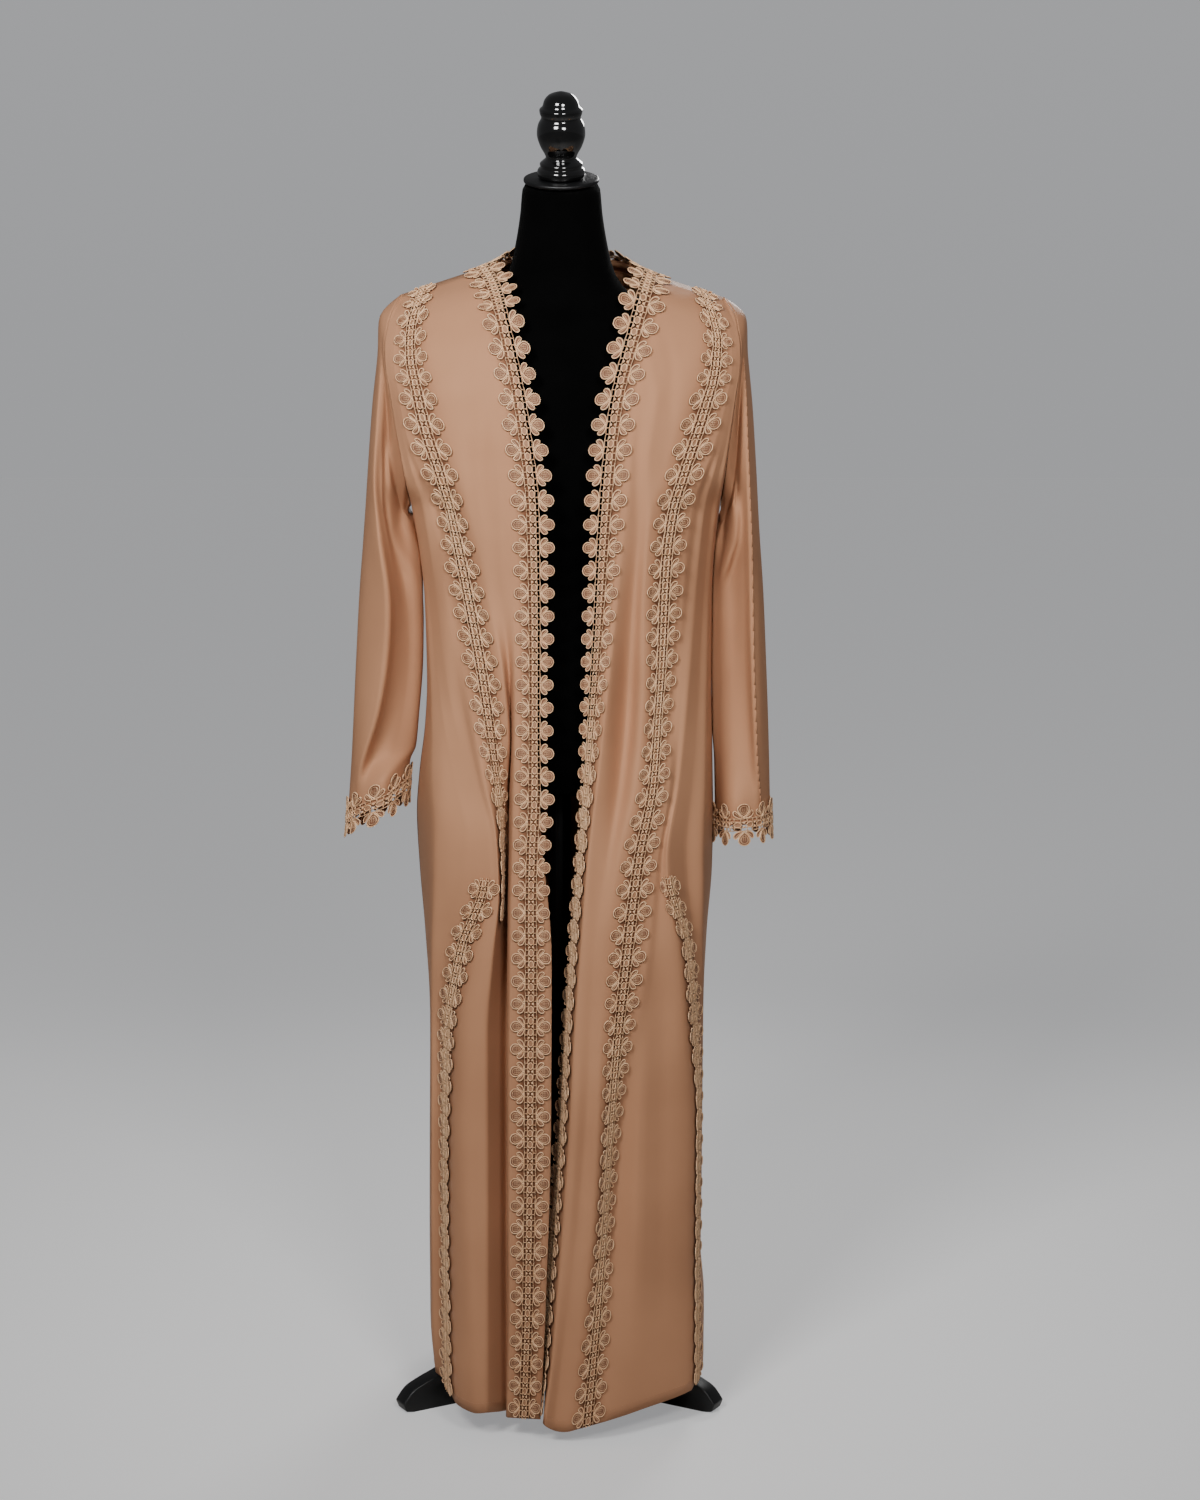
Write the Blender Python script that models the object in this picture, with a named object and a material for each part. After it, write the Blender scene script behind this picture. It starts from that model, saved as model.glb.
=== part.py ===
"""Open abaya cloak with guipure lace trim, hung on a velvet dress form.

Every length is in millimetres until the meshes are made, and +Z is up.  The front faces -Y.
The cloth is cut as two fronts, a back and two sleeves, each a thin wall whose outer points come
from a few sections: a row of each table is one height, and its columns are the lines that run
down the panel (side seam, lace edges, fold lines, front edge).  Each lace band has its own two
lines in the panel it is sewn to, so the band is built from those same points, moved outwards.
"""
import math

import bmesh
import bpy
from mathutils import Matrix, Vector

MM = 0.001

# --- driving sizes ------------------------------------------------------------------------------
CLOTH = 1.6                # wall of the satin panels
LACE = 1.2                 # wall of the lace
GAP = 0.3                  # between neighbouring pieces
LACE_REPEAT = 26.0         # one petal of the lace along its band
LACE_NOTCH = 7.0           # how far the edge dips between two petals
TWIST_SHARE = 0.10         # how far a twisted band stands off its cloth, of its twist
LACE_HOLE = (6.4, 8.4)     # clear opening of a ladder gap, across and along the band
SEAM_TOP = 1393.0          # height of the shoulder seam at the neck
SHOULDER_DROP = 39.0       # how much lower the seam lies at the shoulder point
SLOPE_START = 70.0         # distance from the middle where the shoulder starts to slope
SLOPE_REACH = 120.0        # and the distance over which it drops
SLOPE_END = 1240.0         # height below which the rows are level again
SEAM_LEAN = 0.28           # sideways share of the direction in which the shoulder faces
UNDERARM = 1103.0
HEM = 32.0
ARM_ROWS = 10              # rows from the shoulder seam to the underarm
BODY_ROWS = 20             # rows from the underarm to the hem
NECK_CELLS = 8             # cells across the back neckline
SIDE_CELLS = 6             # cells from the neckline to the side, on the back
NECK_BACK = (10.0, 90.0, 1396.5)      # middle of the fabric edge behind the neck: x, y, z
NECK_BAND = (23.0, 13.5)              # half the lace's width there, backwards and downwards

# --- the body's hull: height, depth of the front and of the back, squareness of the section ---------
HULL = (
    (1393, 0, 0, 2.5), (1368, 50, 60, 2.5), (1343, 76, 85, 2.5), (1318, 92, 98, 2.5),
    (1290, 105, 106, 2.5), (1230, 124, 112, 2.5), (1170, 133, 114, 2.5), (1103, 136, 114, 2.5),
    (1000, 134, 112, 2.5), (900, 140, 120, 2.6), (700, 158, 146, 3.0), (500, 176, 166, 3.2),
    (300, 192, 182, 3.2), (100, 211, 196, 3.2), (32, 220, 200, 3.2),
)

# --- where the side line runs: height, left x, right x, depth of the armhole edge ------------------
SIDE = (
    (1393, -188, 200, 0), (1368, -198, 211, 26), (1343, -203, 214, 38), (1318, -206, 217, 45),
    (1290, -205, 216, 49), (1260, -202, 214, 51), (1230, -198, 211, 51), (1200, -193, 207, 46),
    (1168, -188, 203, 38), (1136, -183, 199, 25), (1103, -178, 195, 0), (1050, -169, 189, 0),
    (990, -163, 186, 0), (888, -161, 186, 0), (835, -164, 187, 0), (781, -171, 188, 0),
    (727, -175, 189, 0), (660, -172, 188, 0), (580, -166, 182, 0), (480, -161, 178, 0),
    (300, -163, 177, 0), (180, -164, 176, 0), (100, -164, 181, 0), (32, -158, 180, 0),
)

# --- lines down a front, from the side to the front edge: x, and how far behind the hull -----------
# branch = lace that leaves the princess line at the hip; princess = lace from the shoulder;
# panel and valley = fold lines on either side of the princess lace; front = lace on the front edge
LEFT_LINES = {
    "branch_out": ((1393, -185, 0), (1343, -199, 0), (1290, -201, 0), (1220, -192, 0),
                   (1190, -187, 0), (1103, -168, 4), (888, -142, 8), (781, -122, 6),
                   (727, -108, 0), (660, -116, 4), (580, -132, 14), (480, -143, 21),
                   (300, -142, 28), (32, -142, 18)),
    "branch_in": ((1393, -182, 0), (1343, -196, 0), (1290, -198, 0), (1220, -189, 0),
                  (1190, -183, 0), (1103, -160, 6), (888, -130, 12), (781, -104, 6),
                  (727, -84, 0), (660, -80, 0), (580, -98, 0), (480, -120, 0), (300, -128, 0),
                  (32, -124, 0)),
    "panel": ((1393, -179, 0), (1343, -193, 0), (1290, -195, 0), (1220, -186, 0),
              (1190, -180, 0), (1103, -152, 12), (888, -117, 14), (781, -93, 4), (727, -78, 0),
              (660, -74, 0), (580, -87, -3), (480, -101, -4), (300, -104, -5), (32, -101, -5)),
    "princess_out": ((1393, -176, 0), (1343, -190, 0), (1318, -192, 0), (1290, -192, 0),
                     (1255, -188, 0), (1220, -183, 0), (1190, -176, 0), (1150, -160, 4),
                     (1103, -143, 18), (1046, -134, 14), (977, -121, 16), (910, -109, 12),
                     (835, -95, 4), (781, -83, 0), (727, -72, 0), (660, -69, 0), (580, -76, 0),
                     (480, -84, 2), (32, -84, 2)),
    "princess_in": ((1393, -143, 0), (1343, -151, 0), (1318, -152, 0), (1290, -150, 0),
                    (1255, -143, 0), (1220, -134, 0), (1190, -125, 0), (1150, -114, 0),
                    (1103, -105, 0), (1046, -90, 0), (977, -77, 0), (910, -65, 0),
                    (835, -59, 6), (781, -61, 22), (727, -64, 38), (660, -65, 44),
                    (580, -68, 38), (480, -72, 32), (32, -72, 24)),
    "valley": ((1393, -128, 0), (1290, -114, 0), (1220, -98, 0), (1103, -78, 0), (1046, -70, 0),
               (977, -63, 6), (910, -57, 14), (835, -56, 26), (781, -58, 36), (660, -60, 50),
               (32, -60, 40)),
    "front_out": ((1393, -115, 0), (1368, -102, 0), (1320, -87, 0), (1220, -66, 0),
                  (1103, -54, 0), (888, -49, 0), (740, -52, 0), (580, -55, 0), (380, -57, 0),
                  (180, -57, 0), (32, -60, 8)),
    "edge": ((1393, -91, 0), (1368, -76, 0), (1320, -62, 0), (1220, -41, 0), (1103, -28, 0),
             (888, -25, 0), (740, -20, 0), (580, -7, 0), (380, -8, 0), (180, -14, 0),
             (32, -21, 8)),
}
RIGHT_LINES = {
    "branch_out": ((1393, 197, 0), (1343, 211, 0), (1290, 214, 0), (1220, 205, 0),
                   (1190, 200, 0), (1103, 182, 6), (888, 167, 8), (781, 160, 10), (700, 152, 14),
                   (660, 154, 16), (580, 163, 12), (480, 172, 4), (380, 172, 0), (180, 171, 0),
                   (32, 173, 0)),
    "branch_in": ((1393, 194, 0), (1343, 208, 0), (1290, 211, 0), (1220, 202, 0),
                  (1190, 196, 0), (1103, 174, 4), (888, 155, 6), (781, 144, 6), (700, 130, 0),
                  (660, 132, 0), (580, 145, 0), (480, 154, 0), (380, 163, 0), (32, 161, 0)),
    "panel": ((1393, 191, 0), (1343, 205, 0), (1290, 208, 0), (1220, 199, 0), (1190, 192, 0),
              (1103, 166, 8), (888, 146, 10), (781, 138, 8), (700, 124, 6), (660, 122, 6),
              (580, 116, 8), (480, 106, 16), (380, 98, 22), (32, 92, 16)),
    "princess_out": ((1393, 188, 0), (1343, 202, 0), (1318, 205, 0), (1290, 205, 0),
                     (1255, 202, 0), (1220, 195, 0), (1190, 186, 0), (1150, 172, 0),
                     (1103, 157, 6), (1046, 149, 6), (977, 145, 8), (910, 139, 12),
                     (860, 134, 12), (781, 131, 4), (700, 118, 4), (580, 104, 4), (480, 88, 12),
                     (380, 74, 26), (280, 66, 28), (180, 63, 18), (32, 56, 4)),
    "princess_in": ((1393, 156, 0), (1343, 167, 0), (1318, 169, 0), (1290, 166, 0),
                    (1255, 160, 0), (1220, 147, 0), (1190, 137, 0), (1150, 125, 0),
                    (1103, 112, 0), (1046, 105, 0), (977, 102, 0), (910, 102, 0), (860, 100, 0),
                    (781, 92, 0), (700, 74, 0), (580, 58, 0), (480, 52, 0), (380, 49, 0),
                    (280, 44, 0), (180, 33, 0), (32, 14, 0)),
    "valley": ((1393, 147, 0), (1290, 142, 0), (1220, 122, 0), (1103, 98, 4), (980, 88, 14),
               (860, 82, 22), (781, 73, 18), (700, 59, 8), (580, 44, 0), (380, 34, 0),
               (180, 14, 0), (32, -4, 0)),
    "front_out": ((1393, 136, 0), (1368, 131, 0), (1320, 118, 0), (1220, 93, 0), (1103, 80, 0),
                  (980, 68, 0), (860, 55, 0), (781, 46, 0), (700, 36, 0), (580, 26, 0),
                  (480, 19, 0), (380, 14, 0), (280, 7, 0), (180, -1, -2), (100, -8, -4),
                  (32, -18, -6)),
    "edge": ((1393, 110, 0), (1368, 103, 0), (1320, 91, 0), (1220, 67, 0), (1103, 55, 0),
             (980, 48, 0), (860, 41, 8), (781, 36, 16), (700, 29, 22), (580, 19, 26),
             (480, 12, 28), (380, 6, 28), (280, -2, 28), (180, -10, 26), (100, -14, 24),
             (32, -17, 22)),
}
LINE_ORDER = ("side", "flank", "branch_out", "branch_in", "panel", "princess_out",
              "princess_in", "valley", "front_out", "edge")
LINE_CELLS = (1, 2, 1, 1, 1, 1, 1, 2, 1)       # cells between one line and the next
FLANK_SHARE = 0.4          # where the flank lies, from the side line to the branch lace
LACE_SPANS = ("branch_out", "princess_out", "front_out")     # spans that stay straight

# --- share of the front lace's width that the cloth reaches under: height, left, right -------------
EDGE_SHARE = ((1393, 0.5, 0.5), (1000, 0.5, 0.5), (781, 0.6, 0.5), (600, 1.0, 0.52),
              (32, 1.0, 0.52))

# --- height of the hem above the floor at each line ------------------------------------------------
HEM_LEFT = {"side": 52, "flank": 52, "branch_out": 50, "branch_in": 38, "panel": 35,
            "princess_out": 36, "princess_in": 30, "valley": 26, "front_out": 30, "edge": 29}
HEM_RIGHT = {"side": 52, "flank": 52, "branch_out": 50, "branch_in": 42, "panel": 32,
             "princess_out": 27, "princess_in": 17, "valley": 18, "front_out": 30, "edge": 34}
HEM_BACK = 52.0
HEM_FADE = 180.0           # height above the hem over which its rise fades out

# --- soft folds of the back: height and swing of the folds -----------------------------------------
BACK_FOLDS = 5
BACK_TOP = 160.0           # height over which the back rounds out below the shoulder seam
BACK_SQUARE = 0.85         # below 1 the back's points crowd towards its sides
BACK_SWING = ((1393, 0), (1150, 0), (1000, 2), (700, 6), (400, 9), (32, 12))

# --- sleeves: heights of the outer and inner end of the section, outer and inner x, half depth,
#     then x and y of the fold's edge, of the groove behind it and of the layer under the fold ------
LEFT_SLEEVE = (
    (1330, 1092, -213, -186, 50, -208, -40, -205, -42, -201, -32),
    (1285, 1082, -216, -181, 50, -212, -44, -208, -44, -203, -28),
    (1225, 1066, -223, -176, 55, -216, -49, -210, -46, -204, -20),
    (1150, 1044, -229, -170, 55, -219, -54, -211, -40, -202, -14),
    (1080, 1012, -235, -164, 54, -214, -57, -204, -38, -193, -14),
    (1000, 968, -242, -164, 53, -206, -57, -196, -34, -184, -12),
    (920, 908, -247, -166, 52, -210, -54, -200, -30, -184, -10),
    (850, 852, -251, -171, 50, -222, -49, -212, -26, -192, -12),
    (790, 808, -254, -176, 48, -240, -37, -228, -24, -204, -20),
    (750, 791, -257, -183, 46, -247, -26, -235, -36, -209, -43),
    (721, 762, -259, -185, 46, -249, -26, -237, -36, -210, -43),
)
RIGHT_SLEEVE = (
    (1330, 1084, 224, 200, 50, 220, -40, 217, -42, 213, -32),
    (1285, 1072, 227, 196, 52, 223, -44, 219, -46, 214, -33),
    (1225, 1056, 233, 191, 55, 225, -49, 219, -46, 213, -29),
    (1150, 1032, 238, 188, 55, 228, -54, 220, -41, 211, -22),
    (1080, 1000, 242, 186, 54, 231, -55, 222, -37, 210, -16),
    (1000, 958, 248, 186, 53, 233, -53, 224, -32, 209, -12),
    (920, 902, 252, 186, 52, 235, -52, 226, -28, 208, -10),
    (850, 845, 255, 186, 50, 238, -49, 229, -29, 209, -16),
    (790, 788, 257, 187, 48, 241, -44, 232, -36, 210, -27),
    (750, 745, 258, 188, 46, 245, -34, 236, -40, 210, -43),
    (721, 716, 259, 188, 46, 246, -34, 237, -40, 211, -43),
)
SLEEVE_CELLS = (3, 1, 2, 4, 3, 3, 4)   # outer, fold, groove, under, inner, back inner, back
SLEEVE_CLEAR = 2.6                     # least distance from the body's side
CUFF_HANG = 26.0                       # lace hanging below the sleeve's cloth
CUFF_TOP = 27.0                        # lace lying on the sleeve's cloth
CUFF_HOLE = 0.66                       # place of a ladder gap across the cuff lace, from its top

# --- dress form ------------------------------------------------------------------------------------
FORM_SIDES = 24
FORM_POWER = 2.2
FORM_X = 4.0
# height, half width, front y, back y
FORM = (
    (1484, 43, -41, 47), (1480, 46, -43, 49), (1450, 49, -45, 53), (1413, 55, -49, 58),
    (1385, 62, -54, 60), (1362, 76, -60, 68), (1340, 116, -70, 78), (1316, 150, -82, 88),
    (1270, 162, -96, 96), (1200, 160, -110, 98), (1155, 154, -112, 94), (1090, 142, -100, 86),
    (1020, 128, -90, 80), (940, 136, -96, 88), (850, 144, -104, 98), (790, 142, -100, 96),
    (766, 128, -88, 86), (758, 104, -70, 70),
)
NECK_TILT = 16.0           # degrees that the neck's top leans forward
CAP = (45.0, 5.0)          # neck cap: radius and thickness
CAP_CENTRE = (FORM_X, 2.0, 1487.0)
# finial: radius and height above the cap
FINIAL = ((24, 0), (28, 2), (28.5, 8), (27, 11), (25, 13), (25.5, 17), (22.5, 20), (18.5, 24),
          (20, 29), (24.5, 37), (28.3, 48), (28.6, 56), (27, 64), (23.5, 71), (25, 76),
          (25.4, 81), (22, 84.5), (19.5, 92), (14, 98), (6, 101))
FINIAL_SIDES = 20
POLE_RADIUS = 14.0
POLE_Z = (176.0, 757.5)
HUB = ((14, 92), (22, 96), (26, 108), (26, 150), (20, 160), (24, 168), (17, 175.7))
HUB_SIDES = 20
LEG_TOP = ((26.5, 146), (70, 112), (115, 74), (150, 52), (178, 41), (198, 34), (214, 26),
           (226, 12))
LEG_BOTTOM = ((222, 2), (210, 0), (150, 0), (120, 6), (85, 26), (50, 66), (26.5, 100))
LEG_THICK = 24.0
LEG_ANGLES = (-150.0, -30.0, 90.0)


# --- interpolation -----------------------------------------------------------------------------------
def at_height(table, height):
    """The table's values at a height, eased from row to row without overshoot."""
    rows = sorted(table)
    keys = [row[0] for row in rows]
    height = min(max(height, keys[0]), keys[-1])
    low = max(k for k in range(len(rows) - 1) if keys[k] <= height)
    step = keys[low + 1] - keys[low]
    part = (height - keys[low]) / step
    return [eased(rows, keys, low, part, step, column) for column in range(1, len(rows[0]))]


def eased(rows, keys, low, part, step, column):
    """Monotone cubic through one column of the rows."""
    def chord(k):
        return (rows[k + 1][column] - rows[k][column]) / (keys[k + 1] - keys[k])

    def slope(k):
        if k == 0 or k == len(rows) - 1:
            return chord(min(k, len(rows) - 2))
        before, after = chord(k - 1), chord(k)
        return 0.0 if before * after <= 0 else 2 * before * after / (before + after)

    a, b = rows[low][column], rows[low + 1][column]
    p2, p3 = part * part, part ** 3
    return (a * (2 * p3 - 3 * p2 + 1) + slope(low) * step * (p3 - 2 * p2 + part)
            + b * (3 * p2 - 2 * p3) + slope(low + 1) * step * (p3 - p2))


def smooth_point(before, start, end, after, part):
    """Point on the rounded curve between start and end."""
    first = (end - before) / 2
    last = (after - start) / 2
    reach = (end - start).length
    first *= min(1.0, reach / max(first.length, 1e-6))
    last *= min(1.0, reach / max(last.length, 1e-6))
    p2, p3 = part * part, part ** 3
    return (start * (2 * p3 - 3 * p2 + 1) + first * (p3 - 2 * p2 + part)
            + end * (3 * p2 - 2 * p3) + last * (p3 - p2))


def fill_open(knots, cells, straight):
    """Points along a row: the knots with the given number of cells between them."""
    points = []
    for k, count in enumerate(cells):
        before = knots[max(k - 1, 0)]
        after = knots[min(k + 2, len(knots) - 1)]
        for step in range(count):
            part = step / count
            if k in straight:
                points.append(knots[k].lerp(knots[k + 1], part))
            else:
                points.append(smooth_point(before, knots[k], knots[k + 1], after, part))
    return points + [knots[-1].copy()]


def fill_closed(knots, cells):
    """Points round a closed section."""
    points = []
    for k, count in enumerate(cells):
        ring = [knots[(k + j) % len(knots)] for j in (-1, 0, 1, 2)]
        points += [smooth_point(*ring, step / count) for step in range(count)]
    return points


# --- the panels' outer points ------------------------------------------------------------------------
def row_heights():
    """Nominal heights of the panels' rows, from the shoulder seam to the hem."""
    arm = [SEAM_TOP + (UNDERARM - SEAM_TOP) * k / ARM_ROWS for k in range(ARM_ROWS)]
    body = [UNDERARM + (HEM - UNDERARM) * k / BODY_ROWS for k in range(BODY_ROWS + 1)]
    return arm + body


def shoulder_drop(x, height):
    """How much lower than its nominal height a point of the shoulder slope lies."""
    out = min(max((abs(x) - SLOPE_START) / SLOPE_REACH, 0.0), 1.15)
    fade = min(max((height - SLOPE_END) / (SEAM_TOP - SLOPE_END), 0.0), 1.0)
    return SHOULDER_DROP * out * fade


def hem_rise(hem, height):
    """How much higher than its nominal height a point near the hem lies."""
    return (hem - HEM) * max(0.0, 1 - (height - HEM) / HEM_FADE)


def hull_depth(x, height, back=False):
    """Distance from the middle plane to the body's hull, in front or behind."""
    front_depth, back_depth, power = at_height(HULL, height)
    depth = back_depth if back else front_depth
    left, right, arm = at_height(SIDE, height)
    limit = abs(left) if x < 0 else abs(right)
    limit *= 1.0 + 0.09 * min(arm / 30, 1.0)
    share = min(abs(x) / limit, 1.0)
    return depth * (1 - share ** power) ** (1 / power)


def front_row(lines, hems, right, height):
    """One row of a front panel, from the side line to the front edge."""
    side = at_height(SIDE, height)
    x = side[1] if right else side[0]
    knots = [Vector((x, -side[2] - GAP / 2, height))]
    flank = x + (at_height(lines["branch_out"], height)[0] - x) * FLANK_SHARE
    depth = max(hull_depth(flank, height), side[2] + abs(x - flank))
    knots.append(Vector((flank, -depth - GAP / 2, height)))
    for name in LINE_ORDER[2:]:
        x, behind = at_height(lines[name], height)
        knots.append(Vector((x, behind - hull_depth(x, height) - GAP / 2, height)))
    for name, knot in zip(LINE_ORDER, knots):
        knot.z += hem_rise(hems[name], height) - shoulder_drop(knot.x, height)
    straight = [LINE_ORDER.index(name) for name in LACE_SPANS]
    return fill_open(knots, LINE_CELLS, straight)


def front_rows(right):
    lines, hems = (RIGHT_LINES, HEM_RIGHT) if right else (LEFT_LINES, HEM_LEFT)
    return [front_row(lines, hems, right, height) for height in row_heights()]


def neck_points(share):
    """Points round the back neckline: share 0 is the lace's outer edge, 1 its inner edge."""
    left = Vector((LEFT_LINES["front_out"][0][1], GAP / 2, SEAM_TOP))
    right = Vector((RIGHT_LINES["front_out"][0][1], GAP / 2, SEAM_TOP))
    left_in = Vector((LEFT_LINES["edge"][0][1], GAP / 2, SEAM_TOP))
    right_in = Vector((RIGHT_LINES["edge"][0][1], GAP / 2, SEAM_TOP))
    points = []
    for k in range(NECK_CELLS + 1):
        angle = math.pi * k / NECK_CELLS
        swing = math.sin(angle)
        cloth_x = NECK_BACK[0] + (right_in.x - left_in.x) / 2 * math.cos(angle)
        outer_x = (left.x + right.x) / 2 + (right.x - left.x) / 2 * math.cos(angle)
        cloth = Vector((cloth_x, GAP / 2 + NECK_BACK[1] * swing,
                        SEAM_TOP + (NECK_BACK[2] - SEAM_TOP) * swing))
        outer = Vector((outer_x, GAP / 2 + (NECK_BACK[1] + NECK_BAND[0]) * swing,
                        SEAM_TOP + (NECK_BACK[2] - NECK_BAND[1] - SEAM_TOP) * swing))
        outer.z -= shoulder_drop(outer_x, SEAM_TOP)
        cloth.z -= shoulder_drop(cloth_x, SEAM_TOP)
        points.append(outer + (cloth - outer) * 2 * share)
    return points


def back_row(height, neck_outer):
    """One row of the back, from the wearer's left side (+X) round to the other."""
    count = NECK_CELLS + 2 * SIDE_CELLS
    left, right, arm = at_height(SIDE, height)
    swing = at_height(BACK_SWING, height)[0]
    spread = min(max((SEAM_TOP - height) / BACK_TOP, 0.0), 1.0)
    points = []
    for k in range(count + 1):
        angle = math.pi * k / count
        middle = (left + right) / 2
        round_x = middle + (right - left) / 2 * math.copysign(
            abs(math.cos(angle)) ** BACK_SQUARE, math.cos(angle))
        flat_x = top_x(k, left, right, neck_outer)
        x = flat_x + (round_x - flat_x) * spread
        top_y = top_depth(k, neck_outer) * (1 - spread) ** 0.5
        y = math.hypot(top_y, hull_depth(x, height, back=True))
        edge = math.sin(angle)
        y = max(y, arm) if 0 < k < count else arm
        fold = math.cos(2 * math.pi * BACK_FOLDS * k / count)
        y += swing * fold * edge
        z = height - shoulder_drop(x, height) + hem_rise(HEM_BACK, height)
        points.append(Vector((x, y + GAP / 2, z)))
    if height >= SEAM_TOP:
        for k in range(NECK_CELLS + 1):
            points[SIDE_CELLS + k] = neck_outer[k].copy()
    return points


def top_x(k, left, right, neck_outer):
    """x of a back point along the shoulder seams and the neckline."""
    if k < SIDE_CELLS:
        return right + (neck_outer[0].x - right) * k / SIDE_CELLS
    if k > SIDE_CELLS + NECK_CELLS:
        share = (k - SIDE_CELLS - NECK_CELLS) / SIDE_CELLS
        return neck_outer[-1].x + (left - neck_outer[-1].x) * share
    return neck_outer[k - SIDE_CELLS].x


def top_depth(k, neck_outer):
    """How far back the top edge of the back lies at a point."""
    inside = min(max(k - SIDE_CELLS, 0), NECK_CELLS)
    return neck_outer[inside].y - GAP / 2


def sleeve_rings(right):
    """Rings of a sleeve from the armhole to the end of its cloth."""
    sign = 1 if right else -1
    front = front_rows(right)
    ring = [front[k][0] for k in range(ARM_ROWS + 1)]
    back = [Vector((p.x, -p.y, p.z)) for p in reversed(ring[1:-1])]
    rings = [[p + Vector((sign * GAP, 0, 0)) for p in ring + back]]
    for row in RIGHT_SLEEVE if right else LEFT_SLEEVE:
        z_out, z_in, out_x, in_x, deep, fx, fy, gx, gy, ux, uy = row
        back_in = Vector((in_x + (out_x - in_x) * 0.18, deep * 0.78, 0))
        back_out = Vector((in_x + (out_x - in_x) * 0.62, deep, 0))
        knots = [Vector((out_x, 0, 0)), Vector((fx, fy, 0)), Vector((gx, gy, 0)),
                 Vector((ux, uy, 0)), Vector((in_x, 4, 0)), back_in, back_out]
        points = fill_closed(knots, SLEEVE_CELLS)
        for k, point in enumerate(points):
            share = 0.5 - 0.5 * math.cos(2 * math.pi * k / len(points))
            point.z = z_out + (z_in - z_out) * share
            body = abs(at_height(SIDE, point.z)[1 if right else 0]) + SLEEVE_CLEAR
            point.x = sign * max(abs(point.x), body)
        rings.append(points)
    return rings


# --- walls -------------------------------------------------------------------------------------------
def facet_normals(points, faces):
    """Average outward direction at each point of a sheet."""
    normals = [Vector() for _ in points]
    for face in faces:
        corners = [points[k] for k in face]
        across = (corners[1] - corners[0]).cross(corners[2] - corners[0])
        if len(face) == 4:
            across += (corners[2] - corners[0]).cross(corners[3] - corners[0])
        across.normalize()
        for k in face:
            normals[k] += across
    return [n.normalized() for n in normals]


def cut_quad(face, points, normals):
    """Two triangles, cut along the diagonal that lies deeper, so that lace clears a twist."""
    a, b, c, d = face
    out = normals[a] + normals[b] + normals[c] + normals[d]
    if (points[a] + points[c] - points[b] - points[d]).dot(out) < 0:
        return [(a, b, c), (a, c, d)]
    return [(a, b, d), (b, c, d)]


def wall(name, points, faces, normals, thickness, material):
    """A closed wall: a sheet, its copy moved along the normals, and rims round every edge.

    A positive thickness grows inwards from the sheet, a negative one outwards."""
    other = [p - n * thickness for p, n in zip(points, normals)]
    outer, inner = (points, other) if thickness > 0 else (other, points)
    count = len(points)
    triangles = []
    for face in faces:
        triangles += cut_quad(face, points, normals) if len(face) == 4 else [face]
    edges = {}
    for face in triangles:
        for a, b in zip(face, face[1:] + face[:1]):
            edges[(a, b)] = True
    shell = [tuple(face) for face in triangles]
    shell += [tuple(k + count for k in reversed(face)) for face in triangles]
    for a, b in edges:
        if (b, a) not in edges:
            shell += [(b, a, a + count), (b, a + count, b + count)]
    return solid(name, outer + inner, shell, material)


def solid(name, points, faces, material):
    """Mesh object from points in millimetres."""
    mesh = bpy.data.meshes.new(name)
    mesh.from_pydata([tuple(p * MM) for p in points], [], faces)
    used = bmesh.new()
    used.from_mesh(mesh)
    bmesh.ops.delete(used, geom=[v for v in used.verts if not v.link_faces], context="VERTS")
    used.to_mesh(mesh)
    used.free()
    mesh.shade_smooth()
    mesh.set_sharp_from_angle(angle=math.radians(35))
    mesh.materials.append(material)
    obj = bpy.data.objects.new(name, mesh)
    bpy.context.scene.collection.objects.link(obj)
    return obj


def grid_faces(rows, columns, flip, closed=False):
    """Faces of a grid whose points run row by row."""
    faces = []
    for i in range(rows - 1):
        for j in range(columns if closed else columns - 1):
            k = (j + 1) % columns
            face = (i * columns + j, (i + 1) * columns + j, (i + 1) * columns + k,
                    i * columns + k)
            faces.append(tuple(reversed(face)) if flip else face)
    return faces


def shoulder_facing(sign):
    """Direction in which both panels face along the shoulder seam."""
    return Vector((sign * SEAM_LEAN, 0, 1 - SEAM_LEAN ** 2 / 2)).normalized()


def front_panel(name, right, material):
    rows = front_rows(right)
    columns = len(rows[0])
    points = [p for row in rows for p in row]
    faces = grid_faces(len(rows), columns, flip=right)
    normals = facet_normals(points, faces)
    sign = 1 if right else -1
    for j in range(columns):
        normals[j] = shoulder_facing(sign)
    for i in range(ARM_ROWS, len(rows)):
        normals[i * columns] = Vector((sign, 0, 0))
    wall(name, points, faces, normals, CLOTH, material)
    return rows


def back_panel(name, material):
    neck_outer = neck_points(0.0)
    rows = [back_row(height, neck_outer) for height in row_heights()]
    columns = len(rows[0])
    points = [p for row in rows for p in row]
    faces = grid_faces(len(rows), columns, flip=False)
    collar = len(points)
    points += neck_points(0.5)
    for k in range(NECK_CELLS):
        j = SIDE_CELLS + k
        faces.append((collar + k, j, j + 1, collar + k + 1))
    normals = facet_normals(points, faces)
    last = columns - 1
    for j in list(range(SIDE_CELLS + 1)) + list(range(last - SIDE_CELLS, last + 1)):
        normals[j] = shoulder_facing(1 if j <= SIDE_CELLS else -1)
    normals[collar] = normals[0].copy()
    normals[collar + NECK_CELLS] = normals[last].copy()
    for i in range(ARM_ROWS, len(rows)):
        normals[i * columns] = Vector((1, 0, 0))
        normals[i * columns + last] = Vector((-1, 0, 0))
    wall(name, points, faces, normals, CLOTH, material)


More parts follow.
